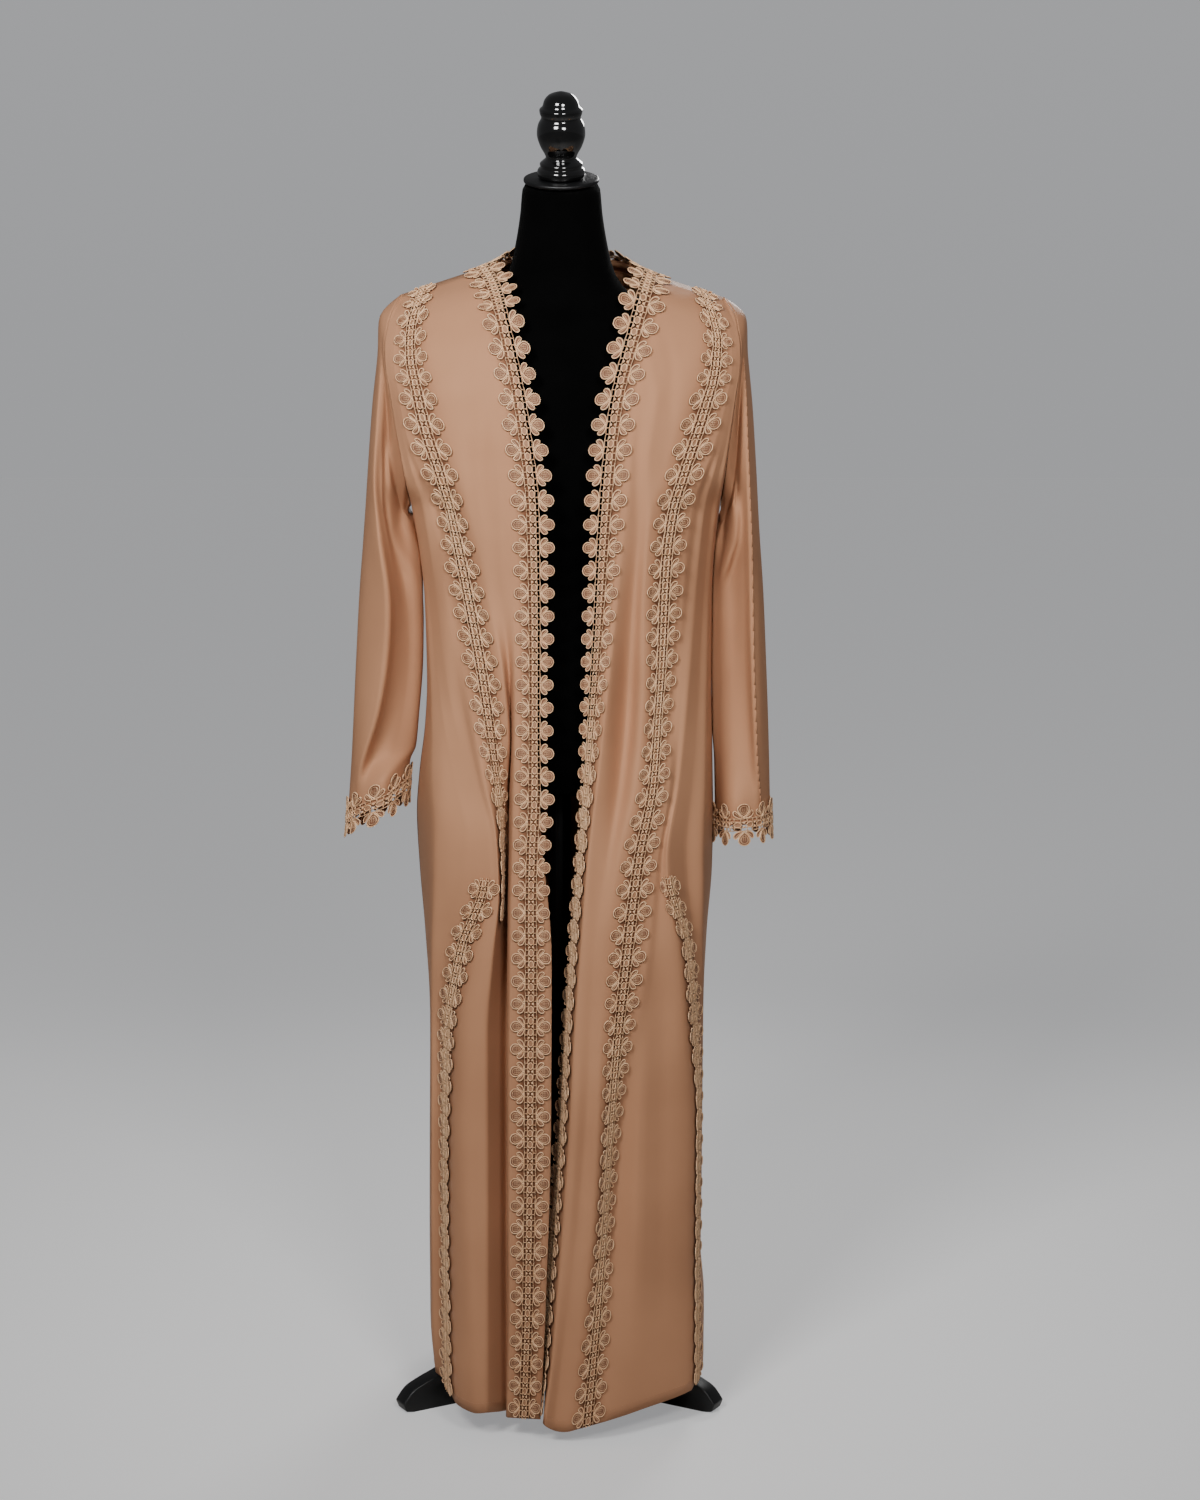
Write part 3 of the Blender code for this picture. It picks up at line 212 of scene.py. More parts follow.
RIGHT_LINES = {
    "branch_out": (
        (1393, 197, 0), (1343, 211, 0), (1290, 214, 0), (1220, 205, 0), (1190, 200, 0),
        (1103, 182, 6), (888, 167, 8), (781, 160, 10), (700, 152, 14), (660, 154, 16),
        (580, 163, 12), (480, 172, 4), (380, 172, 0), (180, 171, 0), (32, 173, 0),
    ),
    "branch_in": (
        (1393, 194, 0), (1343, 208, 0), (1290, 211, 0), (1220, 202, 0), (1190, 196, 0),
        (1103, 174, 4), (888, 155, 6), (781, 144, 6), (700, 130, 0), (660, 132, 0), (580, 145, 0),
        (480, 154, 0), (380, 163, 0), (32, 161, 0),
    ),
    "panel": (
        (1393, 191, 0), (1343, 205, 0), (1290, 208, 0), (1220, 199, 0), (1190, 192, 0),
        (1103, 166, 8), (888, 146, 10), (781, 138, 8), (700, 124, 6), (660, 122, 6), (580, 116, 8),
        (480, 106, 16), (380, 98, 22), (32, 92, 16),
    ),
    "princess_out": (
        (1393, 188, 0), (1343, 202, 0), (1318, 205, 0), (1290, 205, 0), (1255, 202, 0),
        (1220, 195, 0), (1190, 186, 0), (1150, 172, 0), (1103, 157, 6), (1046, 149, 6),
        (977, 145, 8), (910, 139, 12), (860, 134, 12), (781, 131, 4), (700, 118, 4), (580, 104, 4),
        (480, 88, 12), (380, 74, 26), (280, 66, 28), (180, 63, 18), (32, 56, 4),
    ),
    "princess_in": (
        (1393, 156, 0), (1343, 167, 0), (1318, 169, 0), (1290, 166, 0), (1255, 160, 0),
        (1220, 147, 0), (1190, 137, 0), (1150, 125, 0), (1103, 112, 0), (1046, 105, 0),
        (977, 102, 0), (910, 102, 0), (860, 100, 0), (781, 92, 0), (700, 74, 0), (580, 58, 0),
        (480, 52, 0), (380, 49, 0), (280, 44, 0), (180, 33, 0), (32, 14, 0),
    ),
    "valley": (
        (1393, 147, 0), (1290, 142, 0), (1220, 122, 0), (1103, 98, 4), (980, 88, 14), (860, 82, 22),
        (781, 73, 18), (700, 59, 8), (580, 44, 0), (380, 34, 0), (180, 14, 0), (32, -4, 0),
    ),
    "front_out": (
        (1393, 136, 0), (1368, 131, 0), (1320, 118, 0), (1220, 93, 0), (1103, 80, 0), (980, 68, 0),
        (860, 55, 0), (781, 46, 0), (700, 36, 0), (580, 26, 0), (480, 19, 0), (380, 14, 0),
        (280, 7, 0), (180, -1, -2), (100, -8, -4), (32, -18, -6),
    ),
    "edge": (
        (1393, 110, 0), (1368, 103, 0), (1320, 91, 0), (1220, 67, 0), (1103, 55, 0), (980, 48, 0),
        (860, 41, 8), (781, 36, 16), (700, 29, 22), (580, 19, 26), (480, 12, 28), (380, 6, 28),
        (280, -2, 28), (180, -10, 26), (100, -14, 24), (32, -17, 22),
    ),
}
LINE_ORDER = ("side", "flank", "branch_out", "branch_in", "panel", "princess_out",
              "princess_in", "valley", "front_out", "edge")
LINE_CELLS = (1, 2, 1, 1, 1, 1, 1, 2, 1)       # cells between one line and the next
FLANK_SHARE = 0.4          # where the flank lies, from the side line to the branch lace
LACE_SPANS = ("branch_out", "princess_out", "front_out")     # spans that stay straight
BRANCH_START = 8           # rows below the underarm where the branch lace shows
BRANCH_LEAN = (12.0, 90.0) # how far its top leans towards the princess lace, and over what height
PRINCESS_END = 9           # rows below the underarm where the left princess lace ends

# --- share of the front lace's width that the cloth reaches under: height, left, right ---
EDGE_SHARE = ((1393, 0.5, 0.5), (1000, 0.5, 0.5), (781, 0.6, 0.5), (600, 1.0, 0.52),
              (32, 1.0, 0.52))

# --- height of the hem above the floor at each line ---
HEM_LEFT = {"side": 52, "flank": 52, "branch_out": 50, "branch_in": 38, "panel": 35,
            "princess_out": 36, "princess_in": 30, "valley": 26, "front_out": 30, "edge": 29}
HEM_RIGHT = {"side": 52, "flank": 52, "branch_out": 50, "branch_in": 42, "panel": 32,
             "princess_out": 27, "princess_in": 17, "valley": 18, "front_out": 30, "edge": 34}
HEM_BACK = 52.0
HEM_FADE = 180.0           # height above the hem over which its rise fades out

# --- soft folds of the back; the swing goes by height ---
BACK_FOLDS = 5
BACK_TOP = 160.0           # height over which the back rounds out below the shoulder seam
BACK_SQUARE = 0.85         # below 1 the back's points crowd towards its sides
BACK_SWING = ((1393, 0), (1150, 0), (1000, 2), (700, 6), (400, 9), (32, 12))

# --- sleeves: heights of the outer and inner end of the section, outer and inner x, half depth,
#     then x and y of the fold's edge, of the groove behind it and of the layer under the fold ---
LEFT_SLEEVE = (
    (1330, 1092, -213, -186, 50, -208, -40, -205, -42, -201, -32),
    (1285, 1082, -216, -181, 50, -212, -44, -208, -44, -203, -28),
    (1225, 1066, -223, -176, 55, -216, -49, -210, -46, -204, -20),
    (1150, 1044, -229, -170, 55, -219, -54, -211, -40, -202, -14),
    (1080, 1012, -235, -164, 54, -214, -57, -204, -38, -193, -14),
    (1000, 968, -242, -164, 53, -206, -57, -196, -34, -184, -12),
    (920, 908, -247, -166, 52, -210, -54, -200, -30, -184, -10),
    (850, 852, -251, -171, 50, -222, -49, -212, -26, -192, -12),
    (790, 808, -254, -176, 48, -240, -37, -228, -24, -204, -20),
    (750, 791, -257, -183, 46, -247, -26, -235, -36, -209, -43),
    (721, 762, -259, -185, 46, -249, -26, -237, -36, -210, -43),
)
RIGHT_SLEEVE = (
    (1330, 1084, 224, 200, 50, 220, -40, 217, -42, 213, -32),
    (1285, 1072, 227, 196, 52, 223, -44, 219, -46, 214, -33),
    (1225, 1056, 233, 191, 55, 225, -49, 219, -46, 213, -29),
    (1150, 1032, 238, 188, 55, 228, -54, 220, -41, 211, -22),
    (1080, 1000, 242, 186, 54, 231, -55, 222, -37, 210, -16),
    (1000, 958, 248, 186, 53, 233, -53, 224, -32, 209, -12),
    (920, 902, 252, 186, 52, 235, -52, 226, -28, 208, -10),
    (850, 845, 255, 186, 50, 238, -49, 229, -29, 209, -16),
    (790, 788, 257, 187, 48, 241, -44, 232, -36, 210, -27),
    (750, 745, 258, 188, 46, 245, -34, 236, -40, 210, -43),
    (721, 716, 259, 188, 46, 246, -34, 237, -40, 211, -43),
)
# cells from the outer end: to the fold, groove, layer under it, inner end, two knots of the back
# and round to the outer end again
SLEEVE_CELLS = tuple(c * FINE_ROWS for c in (3, 1, 2, 4, 3, 3, 4))
SLEEVE_INNER = 4.0                     # y of the section's inner end
SLEEVE_BACK = ((0.18, 0.78), (0.62, 1.0))    # knots of its back: shares of width and depth
SLEEVE_CLEAR = 2.6                     # least distance from the body's side
CUFF_HANG = 26.0                       # lace hanging below the sleeve's cloth
CUFF_TOP = 27.0                        # lace lying on the sleeve's cloth

# --- shallow folds, finer than the solids: how far out (or in), half width, a path of x, z ---
LEFT_FOLDS = (
    (-1.6, 6, ((-96, 1230), (-103, 1180), (-98, 1110), (-92, 1040))),
    (-1.4, 6, ((-82, 1215), (-87, 1160), (-84, 1090))),
    (2.2, 8, ((-68, 1200), (-64, 1100), (-63, 960), (-64, 830))),
    (1.8, 9, ((-140, 1100), (-133, 980), (-131, 860), (-140, 740))),
    (-1.6, 7, ((-150, 1080), (-150, 960), (-149, 820), (-150, 700))),
    (1.6, 6, ((-146, 760), (-148, 640), (-152, 520))),
    (3.6, 13, ((-100, 600), (-112, 500), (-118, 380), (-110, 250), (-104, 120))),
    (-2.4, 9, ((-88, 560), (-94, 420), (-92, 260), (-90, 90))),
    (2.0, 8, ((-155, 520), (-156, 380), (-154, 200), (-150, 60))),
    (-2.4, 6, ((-146, 1190), (-160, 1160), (-168, 1120), (-164, 1070))),
    (2.0, 6, ((-166, 1190), (-173, 1150), (-173, 1110))),
)
RIGHT_FOLDS = (
    (-1.5, 7, ((118, 1340), (134, 1270), (132, 1200), (118, 1130))),
    (1.6, 6, ((104, 1300), (116, 1240), (112, 1170))),
    (2.6, 7, ((108, 1240), (106, 1160), (104, 1070), (100, 960))),
    (-2.4, 7, ((95, 1210), (93, 1150), (92, 1080))),
    (-2.2, 8, ((124, 1175), (127, 1140), (132, 1100))),
    (2.6, 9, ((66, 1080), (62, 960), (60, 830), (56, 700), (48, 560))),
    (-2.0, 8, ((82, 960), (80, 840), (72, 720))),
    (1.8, 10, ((150, 1060), (152, 940), (146, 820))),
    (-1.6, 8, ((166, 1040), (170, 900), (172, 760))),
    (3.4, 13, ((112, 620), (106, 500), (102, 380), (98, 240), (96, 100))),
    (-2.6, 12, ((128, 600), (126, 460), (124, 300), (122, 120))),
    (2.4, 12, ((146, 560), (144, 420), (142, 260), (140, 80))),
    (2.4, 9, ((26, 470), (20, 360), (14, 240), (4, 120))),
    (-1.8, 8, ((40, 520), (34, 380), (24, 220))),
    (-3.5, 5, ((194, 1140), (186, 1116), (180, 1090), (180, 1050))),
    (2.4, 6, ((178, 1190), (186, 1160), (190, 1130))),
)
LEFT_SLEEVE_FOLDS = (
    (12.0, 7, ((-188, 1215), (-200, 1165), (-205, 1120), (-200, 1075), (-184, 1036), (-166, 1010))),
    (-5.0, 6, ((-206, 1190), (-215, 1140), (-213, 1095), (-206, 1052), (-190, 1016))),
    (-9.0, 8, ((-193, 1125), (-190, 1085), (-180, 1050))),
    (-2.0, 7, ((-184, 1060), (-192, 1010), (-188, 950))),
    (1.8, 8, ((-226, 1220), (-232, 1100), (-234, 960))),
    (-1.5, 7, ((-214, 900), (-222, 850), (-238, 800))),
)
RIGHT_SLEEVE_FOLDS = (
    (12.0, 6, ((196, 1175), (204, 1130), (212, 1095), (211, 1060), (202, 1030), (190, 1005))),
    (-5.0, 5, ((212, 1150), (220, 1110), (221, 1070), (212, 1030), (200, 1000))),
    (-10.0, 7, ((201, 1105), (199, 1070), (194, 1035))),
    (-2.2, 7, ((206, 1050), (214, 980), (212, 900))),
    (2.0, 6, ((236, 1250), (240, 1100), (243, 940), (246, 800))),
    (-1.8, 5, ((229, 1240), (233, 1100), (236, 940), (239, 800))),
)
# height, then how far the inner side of the left and the right sleeve leans towards the body
SLEEVE_REST = (
    (1400, 0.0, 0.0), (1101, 0.0, 0.0), (1090, 5.2, 4.2), (1066, 3.0, 2.9), (1040, 1.9, 2.0),
    (1012, 1.3, 2.0), (985, 0.0, 2.0), (830, 0.0, 2.0), (790, 0.0, 0.0), (0, 0.0, 0.0),
)
REST_DEPTH = 16            # how far across the sleeve that lean reaches
SIDE_FADE = 3              # columns over which the folds of a front fade out at its side
CREPE_SWELL = 0.5          # unevenness of hanging cloth
SWELL_SIZE = (24.0, 150.0) # across and down
FRONT_SEEDS, SLEEVE_SEEDS = (7.4, 3.1), (9.6, 5.2)      # left and right
FADE_ROWS = 2              # rows from the top over which folds and swell fade in
SLEEVE_SWELL = 2.0         # times that on the sleeves
SLEEVE_FADE = 12.0         # depth over which the folds of a sleeve fade in at its front
FOLD_REACH, FOLD_END = 3.0, 0.7     # half widths that a fold reaches; how bluntly it ends

# --- dress form ---
FORM_POWER = 2.2
FORM_X = 4.0
# height, half width, front y, back y
FORM = (
    (1484, 43, -41, 47), (1480, 46, -43, 49), (1450, 49, -45, 53), (1413, 55, -49, 58),
    (1385, 62, -54, 60), (1362, 76, -60, 68), (1340, 116, -70, 78), (1316, 150, -82, 88),
    (1270, 162, -96, 96), (1200, 160, -110, 98), (1155, 154, -112, 94), (1090, 142, -100, 86),
    (1020, 128, -90, 80), (940, 136, -96, 88), (850, 144, -104, 98), (790, 142, -100, 96),
    (766, 128, -88, 86), (758, 104, -70, 70),
)
FORM_GRID = (120, 96)      # rings, and points of each
NECK_LEAN = (1400.0, 80.0) # height where the neck starts to lean, and where it leans in full
NECK_TILT = 16.0           # degrees that the neck's top leans forward
CAP = (45.0, 5.0)          # neck cap: radius and thickness
CAP_CENTRE = (FORM_X, 2.0, 1487.0)
CAP_EDGE = ((1.6, 0.0), (0.5, 0.5), (0.0, 1.4))     # its eased edge: in from its side, from its end
TURNED_SIDES = 72
# finial: radius and height above the cap
FINIAL = ((24, 0), (28, 2), (28.5, 8), (27, 11), (25, 13), (25.5, 17), (22.5, 20), (18.5, 24),
          (20, 29), (24.5, 37), (28.3, 48), (28.6, 56), (27, 64), (23.5, 71), (25, 76),
          (25.4, 81), (22, 84.5), (19.5, 92), (14, 98), (6, 101))
FINIAL_STEPS = 4           # rings between two of those rows
FINIAL_TIP = (0.8, 1.2)    # radius of the last ring and its height above the one before
LEG_TOP = ((26.5, 146), (70, 112), (115, 74), (150, 52), (178, 41), (198, 34), (214, 26),
           (226, 12))
LEG_BOTTOM = ((222, 2), (210, 0), (150, 0), (120, 6), (85, 26), (50, 66), (26.5, 100))
LEG_THICK = 24.0
LEG_ANGLES = (-150.0, -30.0, 90.0)
LEG_STEPS = 5              # points between two of the outline's
LEG_EASE = (2.2, 3, 50.0)  # eased edges: width, segments, and the least angle in degrees


# --- interpolation ---
def unit(value):
    """The value kept between 0 and 1."""
    return min(max(value, 0.0), 1.0)


def hermite(start, end, leave, arrive, part):
    """The cubic from start to end that leaves and arrives with the given slopes."""
    p2, p3 = part * part, part ** 3
    return (start * (2 * p3 - 3 * p2 + 1) + leave * (p3 - 2 * p2 + part)
            + end * (3 * p2 - 2 * p3) + arrive * (p3 - p2))


def at_height(table, height):
    """The table's values at a height, eased from row to row without overshoot."""
    rows = sorted(table)
    keys = [row[0] for row in rows]
    height = min(max(height, keys[0]), keys[-1])
    low = max(k for k in range(len(rows) - 1) if keys[k] <= height)
    step = keys[low + 1] - keys[low]
    part = (height - keys[low]) / step

    def slope(k, column):
        chords = [(rows[i + 1][column] - rows[i][column]) / (keys[i + 1] - keys[i])
                  for i in (k - 1, k) if 0 <= i < len(rows) - 1]
        before, after = chords[0], chords[-1]
        if len(chords) == 1:
            return before
        return 0.0 if before * after <= 0 else 2 * before * after / (before + after)

    return [hermite(rows[low][c], rows[low + 1][c], slope(low, c) * step, slope(low + 1, c) * step,
                    part) for c in range(1, len(rows[0]))]


def smooth_point(before, start, end, after, part):
    """Point on the rounded curve between start and end."""
    reach = (end - start).length
    leave, arrive = [slope * min(1.0, reach / max(slope.length, 1e-6))
                     for slope in ((end - before) / 2, (after - start) / 2)]
    return hermite(start, end, leave, arrive, part)


def four_near(knots, k, closed=False):
    """The two ends of a span with the knot before and the knot after it."""
    if closed:
        return [knots[(k + j) % len(knots)] for j in (-1, 0, 1, 2)]
    return [knots[min(max(k + j, 0), len(knots) - 1)] for j in (-1, 0, 1, 2)]


def curve(knots, cells, closed=False, straight=()):
    """Points along the knots, with the given number of cells in each span."""
    points = []
    for k, count in enumerate(cells):
        span = four_near(knots, k, closed)
        points += [span[1].lerp(span[2], step / count) if k in straight
                   else smooth_point(*span, step / count) for step in range(count)]
    return points if closed else points + [knots[-1].copy()]


def rounded(path, steps, closed=True):
    """The path's corners joined by a soft curve."""
    knots = [Vector(p) for p in path]
    return curve(knots, [steps] * (len(knots) - (not closed)), closed)


# --- the panels' outer points ---
def row_heights():
    """Nominal heights of the panels' rows, from the shoulder seam to the hem."""
    arm = [SEAM_TOP + (UNDERARM - SEAM_TOP) * k / ARM_ROWS for k in range(ARM_ROWS)]
    return arm + [UNDERARM + (HEM - UNDERARM) * k / BODY_ROWS for k in range(BODY_ROWS + 1)]


def shoulder_drop(x, height):
    """How much lower than its nominal height a point of the shoulder slope lies."""
    out = min(max((abs(x) - SLOPE_START) / SLOPE_REACH, 0.0), SLOPE_MOST)
    return SHOULDER_DROP * out * unit((height - SLOPE_END) / (SEAM_TOP - SLOPE_END))


def hem_rise(hem, height):
    """How much higher than its nominal height a point near the hem lies."""
    return (hem - HEM) * max(0.0, 1 - (height - HEM) / HEM_FADE)


def hull_depth(x, height, back=False):
    """Distance from the middle plane to the body's hull, in front or behind."""
    front, rear, power = at_height(HULL, height)
    left, right, arm = at_height(SIDE, height)
    limit = abs(left if x < 0 else right)
    limit *= 1.0 + ARMHOLE_WIDEN[0] * min(arm / ARMHOLE_WIDEN[1], 1.0)
    share = min(abs(x) / limit, 1.0)
    return (rear if back else front) * (1 - share ** power) ** (1 / power)


def front_rows(right):
    """Rows of a front panel, each from the side line to the front edge."""
    lines, hems = (RIGHT_LINES, HEM_RIGHT) if right else (LEFT_LINES, HEM_LEFT)
    straight = [LINE_ORDER.index(name) for name in LACE_SPANS]
    rows = []
    for height in row_heights():
        *sides, arm = at_height(SIDE, height)
        side = sides[right]
        flank = side + (at_height(lines["branch_out"], height)[0] - side) * FLANK_SHARE
        spots = [(side, arm), (flank, max(hull_depth(flank, height), arm + abs(side - flank)))]
        for name in LINE_ORDER[2:]:
            x, behind = at_height(lines[name], height)
            spots.append((x, hull_depth(x, height) - behind))
        knots = [Vector((x, -depth - GAP / 2, height)) for x, depth in spots]
        for name, knot in zip(LINE_ORDER, knots):
            knot.z += hem_rise(hems[name], height) - shoulder_drop(knot.x, height)
        rows.append(curve(knots, [c * FINE_CELLS for c in LINE_CELLS], straight=straight))
    return rows


def neck_points(share):
    """Points round the back neckline: share 0 is the lace's outer edge, 1 its inner edge."""
    (out_left, out_right), (in_left, in_right) = [
        [lines[name][0][1] for lines in (LEFT_LINES, RIGHT_LINES)]
        for name in ("front_out", "edge")]
    middle, back, height = NECK_BACK
    # middle, half width, depth and height of the lace's outer edge and of the cloth's edge
    arcs = (((out_left + out_right) / 2, (out_right - out_left) / 2, back + NECK_BAND[0],
             height - NECK_BAND[1]), (middle, (in_right - in_left) / 2, back, height))
    points = []
    for k in range(NECK_CELLS + 1):
        angle, ends = math.pi * k / NECK_CELLS, []
        for centre, half, deep, level in arcs:
            x = centre + half * math.cos(angle)
            point = Vector((x, GAP / 2 + deep * math.sin(angle),
                            SEAM_TOP + (level - SEAM_TOP) * math.sin(angle)))
            point.z -= shoulder_drop(x, SEAM_TOP)
            ends.append(point)
        outer, cloth = ends
        points.append(outer + (cloth - outer) * 2 * share)
    return points


def back_rows():
    """Rows of the back, each from the wearer's left side (+X) round to the other."""
    neck = neck_points(0.0)
    count = NECK_CELLS + 2 * SIDE_CELLS
    rows = []
    for height in row_heights():
        left, right, arm = at_height(SIDE, height)
        swing = at_height(BACK_SWING, height)[0]
        spread = unit((SEAM_TOP - height) / BACK_TOP)
        row = []
        for k in range(count + 1):
            angle = math.pi * k / count
            turn = math.copysign(abs(math.cos(angle)) ** BACK_SQUARE, math.cos(angle))
            round_x = (left + right) / 2 + (right - left) / 2 * turn
            flat_x, flat_y = seam_spot(k, left, right, neck)
            x = flat_x + (round_x - flat_x) * spread
            y = math.hypot(flat_y * (1 - spread) ** 0.5, hull_depth(x, height, back=True))
            y = max(y, arm) if 0 < k < count else arm
            y += swing * math.cos(2 * math.pi * BACK_FOLDS * k / count) * math.sin(angle)
            z = height - shoulder_drop(x, height) + hem_rise(HEM_BACK, height)
            row.append(Vector((x, y + GAP / 2, z)))
        rows.append(row)
    rows[0][SIDE_CELLS:-SIDE_CELLS] = neck
    return rows


def seam_spot(k, left, right, neck):
    """x and depth of the back's top edge at a point: a shoulder seam or the neckline."""
    x, y, _ = neck[min(max(k - SIDE_CELLS, 0), NECK_CELLS)]
    if k < SIDE_CELLS:
        x = right + (x - right) * k / SIDE_CELLS
    elif k > SIDE_CELLS + NECK_CELLS:
        share = (k - SIDE_CELLS - NECK_CELLS) / SIDE_CELLS
        x += (left - x) * share
    return x, y - GAP / 2


def sleeve_rings(rows, right):
    """Rings of a sleeve from the armhole, the side of the front's rows, to its cloth's end."""
    sign = 1 if right else -1
    edge = [row[0] for row in rows[:ARM_ROWS + 1]]
    back = [Vector((p.x, -p.y, p.z)) for p in reversed(edge[1:-1])]
    rings = [[p + Vector((sign * GAP, 0, 0)) for p in edge + back]]
    for z_out, z_in, out_x, in_x, deep, *fold in RIGHT_SLEEVE if right else LEFT_SLEEVE:
        spots = [(out_x, 0), fold[:2], fold[2:4], fold[4:], (in_x, SLEEVE_INNER)]
        spots += [(in_x + (out_x - in_x) * x, deep * y) for x, y in SLEEVE_BACK]
        ring = curve([Vector((*spot, 0)) for spot in spots], SLEEVE_CELLS, closed=True)
        for k, point in enumerate(ring):
            share = 0.5 - 0.5 * math.cos(2 * math.pi * k / len(ring))
            point.z = z_out + (z_in - z_out) * share
            body = abs(at_height(SIDE, point.z)[right]) + SLEEVE_CLEAR
            point.x = sign * max(abs(point.x), body)
        rings.append(ring)
    return rings


# --- finer grids of the cloth ---
def fold_push(folds, x, z):
    """How far the shallow folds push the cloth out at a place; they fade towards their ends."""
    push = 0.0
    for height, width, path in folds:
        near, spot = FOLD_REACH * width, 0.0
        for k, ((ax, az), (bx, bz)) in enumerate(zip(path, path[1:])):
            dx, dz = bx - ax, bz - az
            part = unit(((x - ax) * dx + (z - az) * dz) / (dx ** 2 + dz ** 2))
            away = math.hypot(x - ax - part * dx, z - az - part * dz)
            if away < near:
                near, spot = away, (k + part) / (len(path) - 1)
        if spot:
            push += height * math.exp(-(near / width) ** 2) * math.sin(math.pi * spot) ** FOLD_END
    return push


def swell(x, z, seed):
    """How far the cloth swells out of itself at a place."""
    return CREPE_SWELL * noise.noise(Vector((x / SWELL_SIZE[0], z / SWELL_SIZE[1], seed)))


def column_of(line):
    """Column of a front's fine rows at which a line lies."""
    return sum(LINE_CELLS[:LINE_ORDER.index(line)]) * FINE_CELLS


def fine_front(right):
    """Grid of a front panel, with shallow folds; the spans under lace stay straight."""
    rows, seed = front_rows(right), FRONT_SEEDS[right]
    folds = RIGHT_FOLDS if right else LEFT_FOLDS
    for i, row in enumerate(rows):
        down = min(i / (FADE_ROWS * FINE_ROWS), 1.0)
        push = [(fold_push(folds, p.x, p.z) + swell(p.x, p.z, seed)) * down
                * min(j / SIDE_FADE, 1.0) for j, p in enumerate(row)]
        for j in map(column_of, LACE_SPANS):
            for k in range(1, FINE_CELLS):
                share = k / FINE_CELLS
                push[j + k] = push[j] * (1 - share) + push[j + FINE_CELLS] * share
        for point, out in zip(row, push):
            point.y -= out
    return rows


def fine_sleeve(rows, right):
    """Rings of a sleeve, with smooth rings between the tables' own, and shallow folds."""
    rings, seed = sleeve_rings(rows, right), SLEEVE_SEEDS[right]
    folds, side = (RIGHT_SLEEVE_FOLDS, 1) if right else (LEFT_SLEEVE_FOLDS, -1)
    fine = [[smooth_point(*quad, step / SLEEVE_STEPS) for quad in zip(*four_near(rings, i))]
            for i in range(len(rings) - 1) for step in range(SLEEVE_STEPS)] + rings[-1:]
    for i, ring in enumerate(fine):
        down = min(i / (FADE_ROWS * SLEEVE_STEPS), 1.0)
        inner = min(point.x * side for point in ring)
        for point in ring:
            across = min((point.x * side - inner) / REST_DEPTH, 1.0)
            point.x -= side * at_height(SLEEVE_REST, point.z)[right] * (1 - across) ** 2
            if point.y < 0:
                near = min(-point.y / SLEEVE_FADE, 1.0) * down
                point.y -= near * (fold_push(folds, point.x, point.z)
                                   + SLEEVE_SWELL * swell(point.x, point.z, seed))
    return fine


# --- meshes ---
def grid(rows, closed=False):
    """The points of a grid's rows, and the faces between them."""
    count = len(rows[0])
    faces = []
    for i in range(len(rows) - 1):
        for j in range(count if closed else count - 1):
            k = (j + 1) % count
            faces.append((i * count + j, (i + 1) * count + j, (i + 1) * count + k, i * count + k))
    return [point for row in rows for point in row], faces


def add_object(name, points, faces, material):
    """A smooth mesh object from points in millimetres."""
    mesh = bpy.data.meshes.new(name)
    mesh.from_pydata([tuple(p * MM) for p in points], [], faces)
    mesh.validate()
    mesh.shade_smooth()
    mesh.materials.append(material)
    return placed(bpy.data.objects.new(name, mesh))


def placed(obj):
    """The object, put into the scene."""
    bpy.context.scene.collection.objects.link(obj)
    return obj


def add_values(mesh, name, values):
    """Give a mesh an attribute with one number for each of its points."""
    mesh.attributes.new(name, "FLOAT", "POINT").data.foreach_set("value", values)


def face_outwards(obj, centre):
    """Turn a sheet's faces so that they point away from an upright line."""
    total = 0.0
    for face in obj.data.polygons:
        away = face.center - Vector((centre[0] * MM, centre[1] * MM, face.center.z))
        total += face.normal.dot(away) * face.area
    if total < 0:
        obj.data.flip_normals()
    return obj


def normals_out(obj):
    """Turn a closed body's faces outwards."""
    body = bmesh.new()
    body.from_mesh(obj.data)
    bmesh.ops.recalc_face_normals(body, faces=body.faces)
    body.to_mesh(obj.data)
    body.free()
    return obj


def applied(obj):
    """The object with its modifiers made part of its mesh."""
    graph = bpy.context.evaluated_depsgraph_get()
    mesh = bpy.data.meshes.new_from_object(obj.evaluated_get(graph))
    mesh.name = obj.name
    obj.modifiers.clear()
    obj.data = mesh
    return obj


def sheet_wall(name, sheet, centre, material, shade=None):
    """A cloth panel: its outer sheet's points and faces, given their thickness inwards."""
    obj = face_outwards(add_object(name, *sheet, material), centre)
    # the shade attribute is painted shade that darkens the satin's colour
    if shade:
        add_values(obj.data, "shade", shade)
    wall = obj.modifiers.new("wall", "SOLIDIFY")
    wall.thickness = CLOTH * MM
    wall.offset = -1.0
    return applied(obj)


# --- node trees and materials ---
def node(tree, kind, settings=None, inputs=None):
    """Add a node, set its properties, and set or link its inputs."""
    made = tree.nodes.new(kind)
    for key, value in (settings or {}).items():
        setattr(made, key, value)
    for key, value in (inputs or {}).items():
        if isinstance(value, bpy.types.NodeSocket):
            tree.links.new(value, made.inputs[key])
        else:
            made.inputs[key].default_value = value
    return made


def linear(code):
    """An sRGB hex colour as linear red, green, blue and alpha."""
    parts = [int(code[k:k + 2], 16) / 255 for k in (1, 3, 5)]
    return (*[p / 12.92 if p <= 0.04045 else ((p + 0.055) / 1.055) ** 2.4 for p in parts], 1.0)


